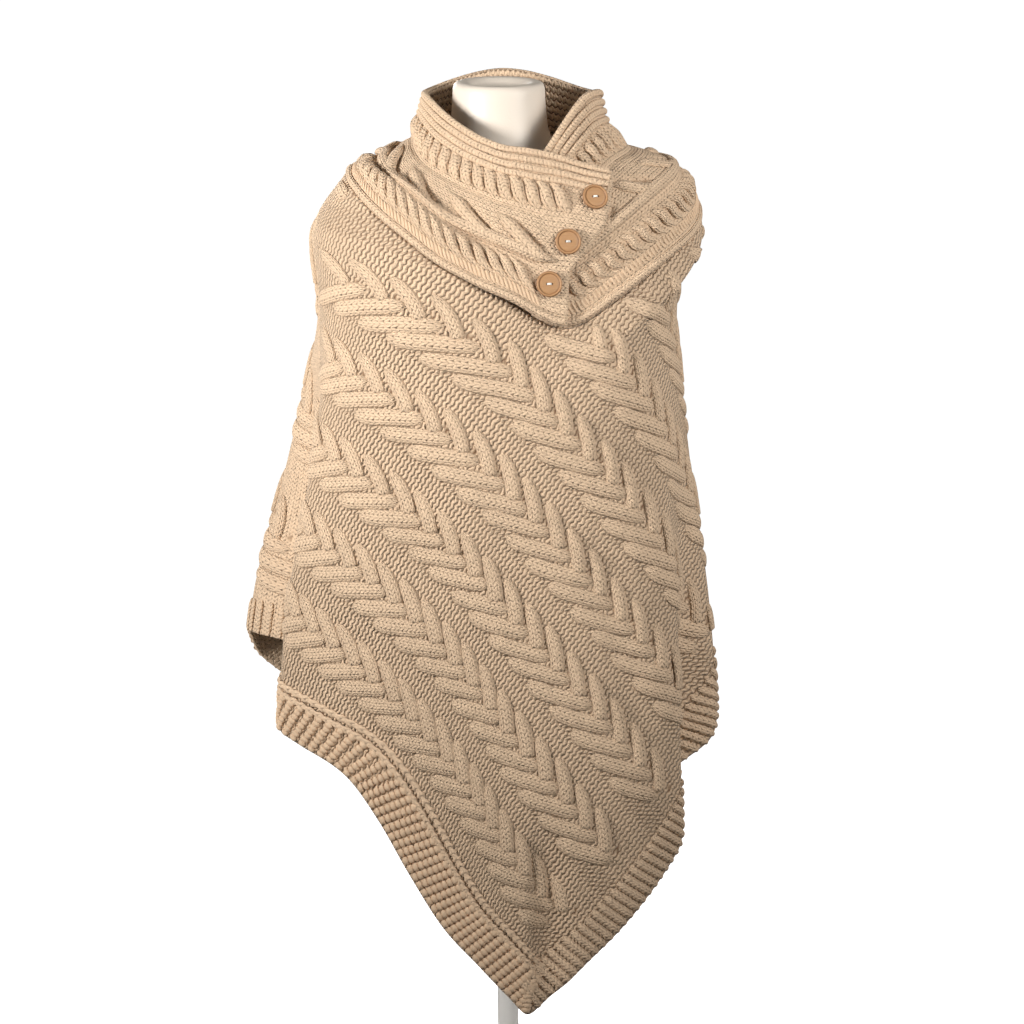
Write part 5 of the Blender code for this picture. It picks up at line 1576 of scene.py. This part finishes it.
# %% Three buttons
def turned_button(name, share, inset):
    half = BUTTON_THICKNESS / 2
    profile = (
        (.0070, half - .0009), (.0095, half - .0008), (.0100, half - .0011), (.0104, half - .0013),
        (.0108, half - .0009), (.0113, half - .0002), (.0120, half), (.0128, half - .0004),
        (.0133, half - .0014), (.0131, -half * .4), (.0120, -half * .85), (.0103, -half),
    )
    piece = lathe(name + "_turned", profile, 64, wood)
    uv = piece.data.uv_layers.new(name="UVMap")
    for loop in piece.data.loops:
        x, y, _ = piece.data.vertices[loop.vertex_index].co
        uv.data[loop.index].uv = (x, y)
    for side in (-1, 1):
        bpy.ops.mesh.primitive_cylinder_add(
            vertices=16, radius=HOLE_RADIUS, depth=BUTTON_THICKNESS * 3, location=(side * HOLE_OFFSET, 0, 0)
        )
        cutter = bpy.context.object
        cut = piece.modifiers.new("hole", "BOOLEAN")
        cut.operation, cut.object = "DIFFERENCE", cutter
        bpy.context.view_layer.update()
        seen = piece.evaluated_get(bpy.context.evaluated_depsgraph_get())
        plain = bpy.data.meshes.new_from_object(seen)
        piece.modifiers.clear()
        piece.data = plain
        bpy.data.objects.remove(cutter, do_unlink=True)
    piece.data.transform(button_frame(share, inset))
    piece.data.set_sharp_from_angle(angle=math.radians(50))
    return piece


button_pieces = {name: turned_button(name, share, inset) for name, share, inset in BUTTONS}
print("button_1", triangles(button_pieces["button_1"]), "triangles")

# %% [markdown]
# ## The white sewing thread
#
# Three stitches pass from one hole to the other. Each is a short strand of the same tree as the cables,
# bent down into the holes at its ends.

# %% Thread
def thread_white():
    made, m, shader = new_finish("sewing_thread")
    twist = m.noise(m.place(), 2500.0, 1.0)
    shade = m.blend(twist, (.78, .74, .68), (.93, .91, .88))
    m.feed(shader, shade, m.do("MULTIPLY_ADD", twist, 0.2, 0.55), twist, 0.0002)
    return made


thread = thread_white()
thread_pieces = {}
THREAD_HALF_WIDTH, THREAD_PITCH = 0.00042, 0.0006
THREAD_ARCH, THREAD_DIVE = 0.0009, 0.0012    # over the button's middle, and down into its holes
for name, share, inset in BUTTONS:
    here = button_frame(share, inset)
    paths = []
    for k in (-1, 0, 1):
        t = np.linspace(-1, 1, 9)
        arch = THREAD_ARCH * np.sqrt(np.clip(1 - t**2, 0, 1))
        rise = BUTTON_THICKNESS / 2 - THREAD_ARCH + arch - THREAD_DIVE * np.abs(t) ** 6
        line = [here @ Vector((HOLE_OFFSET * x, k * THREAD_PITCH, z)) for x, z in zip(t, rise)]
        out = np.tile(np.array(here.to_3x3() @ Vector((0, 0, 1))), (len(line), 1))
        paths.append({"points": np.array(line), "out": out, "full": np.ones(len(line)), "u": t})
    thread_pieces[name] = strands(
        name + "_thread", paths, THREAD_HALF_WIDTH, THREAD_HALF_WIDTH, 1.0, 8, THREAD_HALF_WIDTH, thread
    )

# %% [markdown]
# ## Floor
#
# The floor is one pale sheet that curves up far behind the form, as in a product studio. The camera sees it
# nearly white, while it throws little light back on the garment; real paper would need its own lamps for
# that.

# %% Floor
FLOOR_HALF_WIDTH, FLOOR_FRONT, FLOOR_BACK = 16.0, -16.0, 7.0
FLOOR_CURVE, WALL_TOP = 2.0, 9.0


def backdrop():
    made, m, shader = new_finish("studio_paper")
    shader.inputs["Roughness"].default_value = 0.9
    shader.inputs["Emission Strength"].default_value = 1.0
    seen = m.add("ShaderNodeLightPath").outputs["Is Camera Ray"]
    m.tree.links.new(m.blend(seen, (.22, .22, .22), (.92, .92, .92)), shader.inputs["Base Color"])
    m.tree.links.new(m.blend(seen, (.0, .0, .0), (.97, .97, .97)), shader.inputs["Emission Color"])
    line = [(FLOOR_FRONT, 0.0), (FLOOR_BACK, 0.0)]
    for a in np.linspace(0.2, math.pi / 2, 8):
        line.append((FLOOR_BACK + FLOOR_CURVE * math.sin(a), FLOOR_CURVE * (1 - math.cos(a))))
    line.append((FLOOR_BACK + FLOOR_CURVE, WALL_TOP))
    points = [(x, y, z - 0.0005) for y, z in line for x in (-FLOOR_HALF_WIDTH, FLOOR_HALF_WIDTH)]
    faces = [(2 * i, 2 * i + 1, 2 * i + 3, 2 * i + 2) for i in range(len(line) - 1)]
    return mesh_piece("studio_floor", points, faces, made)


floor = backdrop()
print("floor", len(floor.data.polygons), "faces")

# %% [markdown]
# ## Light
#
# A soft key lamp stands low to the left and rakes the stitches, so that each throws a small shadow. A
# second one fills from the right and above, and a broad lamp behind lifts the outline from the paper. A
# weak warm sky lights the rest; the camera itself sees that sky white.

# %% Lamps and sky
SKY_LIGHT = 0.12
LAMP_COLOUR = (1.0, .98, .95)
LAMPS = (
    # name, place, what it looks at, width, watts, spread in degrees
    ("key_lamp", (-1.75, -1.25, 1.15), (-.16, 0, .88), 0.6, 7.7, 56),
    ("fill_lamp", (1.8, -1.4, 1.60), (.24, 0, .93), 0.9, 5.8, 54),
    ("back_lamp", (-.9, 2.8, 1.25), (0, 0, .65), 1.2, 12, 80),
)
for name, place, target, size, power, spread in LAMPS:
    light = bpy.data.lights.new(name, "AREA")
    light.spread = math.radians(spread)
    light.shape, light.size, light.energy, light.color = "SQUARE", size, power, LAMP_COLOUR
    lamp = bpy.data.objects.new(name, light)
    bpy.context.scene.collection.objects.link(lamp)
    lamp.location = place
    lamp.rotation_euler = (Vector(target) - Vector(place)).to_track_quat("-Z", "Y").to_euler()

world = bpy.data.worlds.new("studio_sky")
world.use_nodes = True
m, background = Maths(world.node_tree), world.node_tree.nodes["Background"]
seen = m.add("ShaderNodeLightPath").outputs["Is Camera Ray"]
m.tree.links.new(m.blend(seen, (1.0, 0.97, 0.93), (1.0, 1.0, 1.0)), background.inputs["Color"])
m.tree.links.new(m.do("MULTIPLY_ADD", seen, 1.0 - SKY_LIGHT, SKY_LIGHT), background.inputs["Strength"])
bpy.context.scene.world = world
bpy.context.scene.view_settings.view_transform = "Standard"
print("lamps:", len(LAMPS))

# %% [markdown]
# ## Attaching each piece to the body
#
# Every piece rides on the one body, and the solid that it stands for is hidden. The three knitted shells are
# sheets of cloth; their cut sizes are measured on the flat pieces above.

# %% Pieces and solids
def dress(piece, solid):
    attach(piece, "root")
    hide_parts(solid)


for panel in (front, back):
    for piece in [panel_shells[panel.name]] + panel_extras[panel.name]:
        dress(piece, panel.name)
for piece in [collar_shell] + collar_extras:
    dress(piece, "collar")
for name, piece in button_pieces.items():
    dress(piece, name)
    dress(thread_pieces[name], name)
dress(form_piece, "dress_form")
dress(foot_piece, "foot")
dress(pole_piece, "pole")

float(strip.flap_end(0.0))
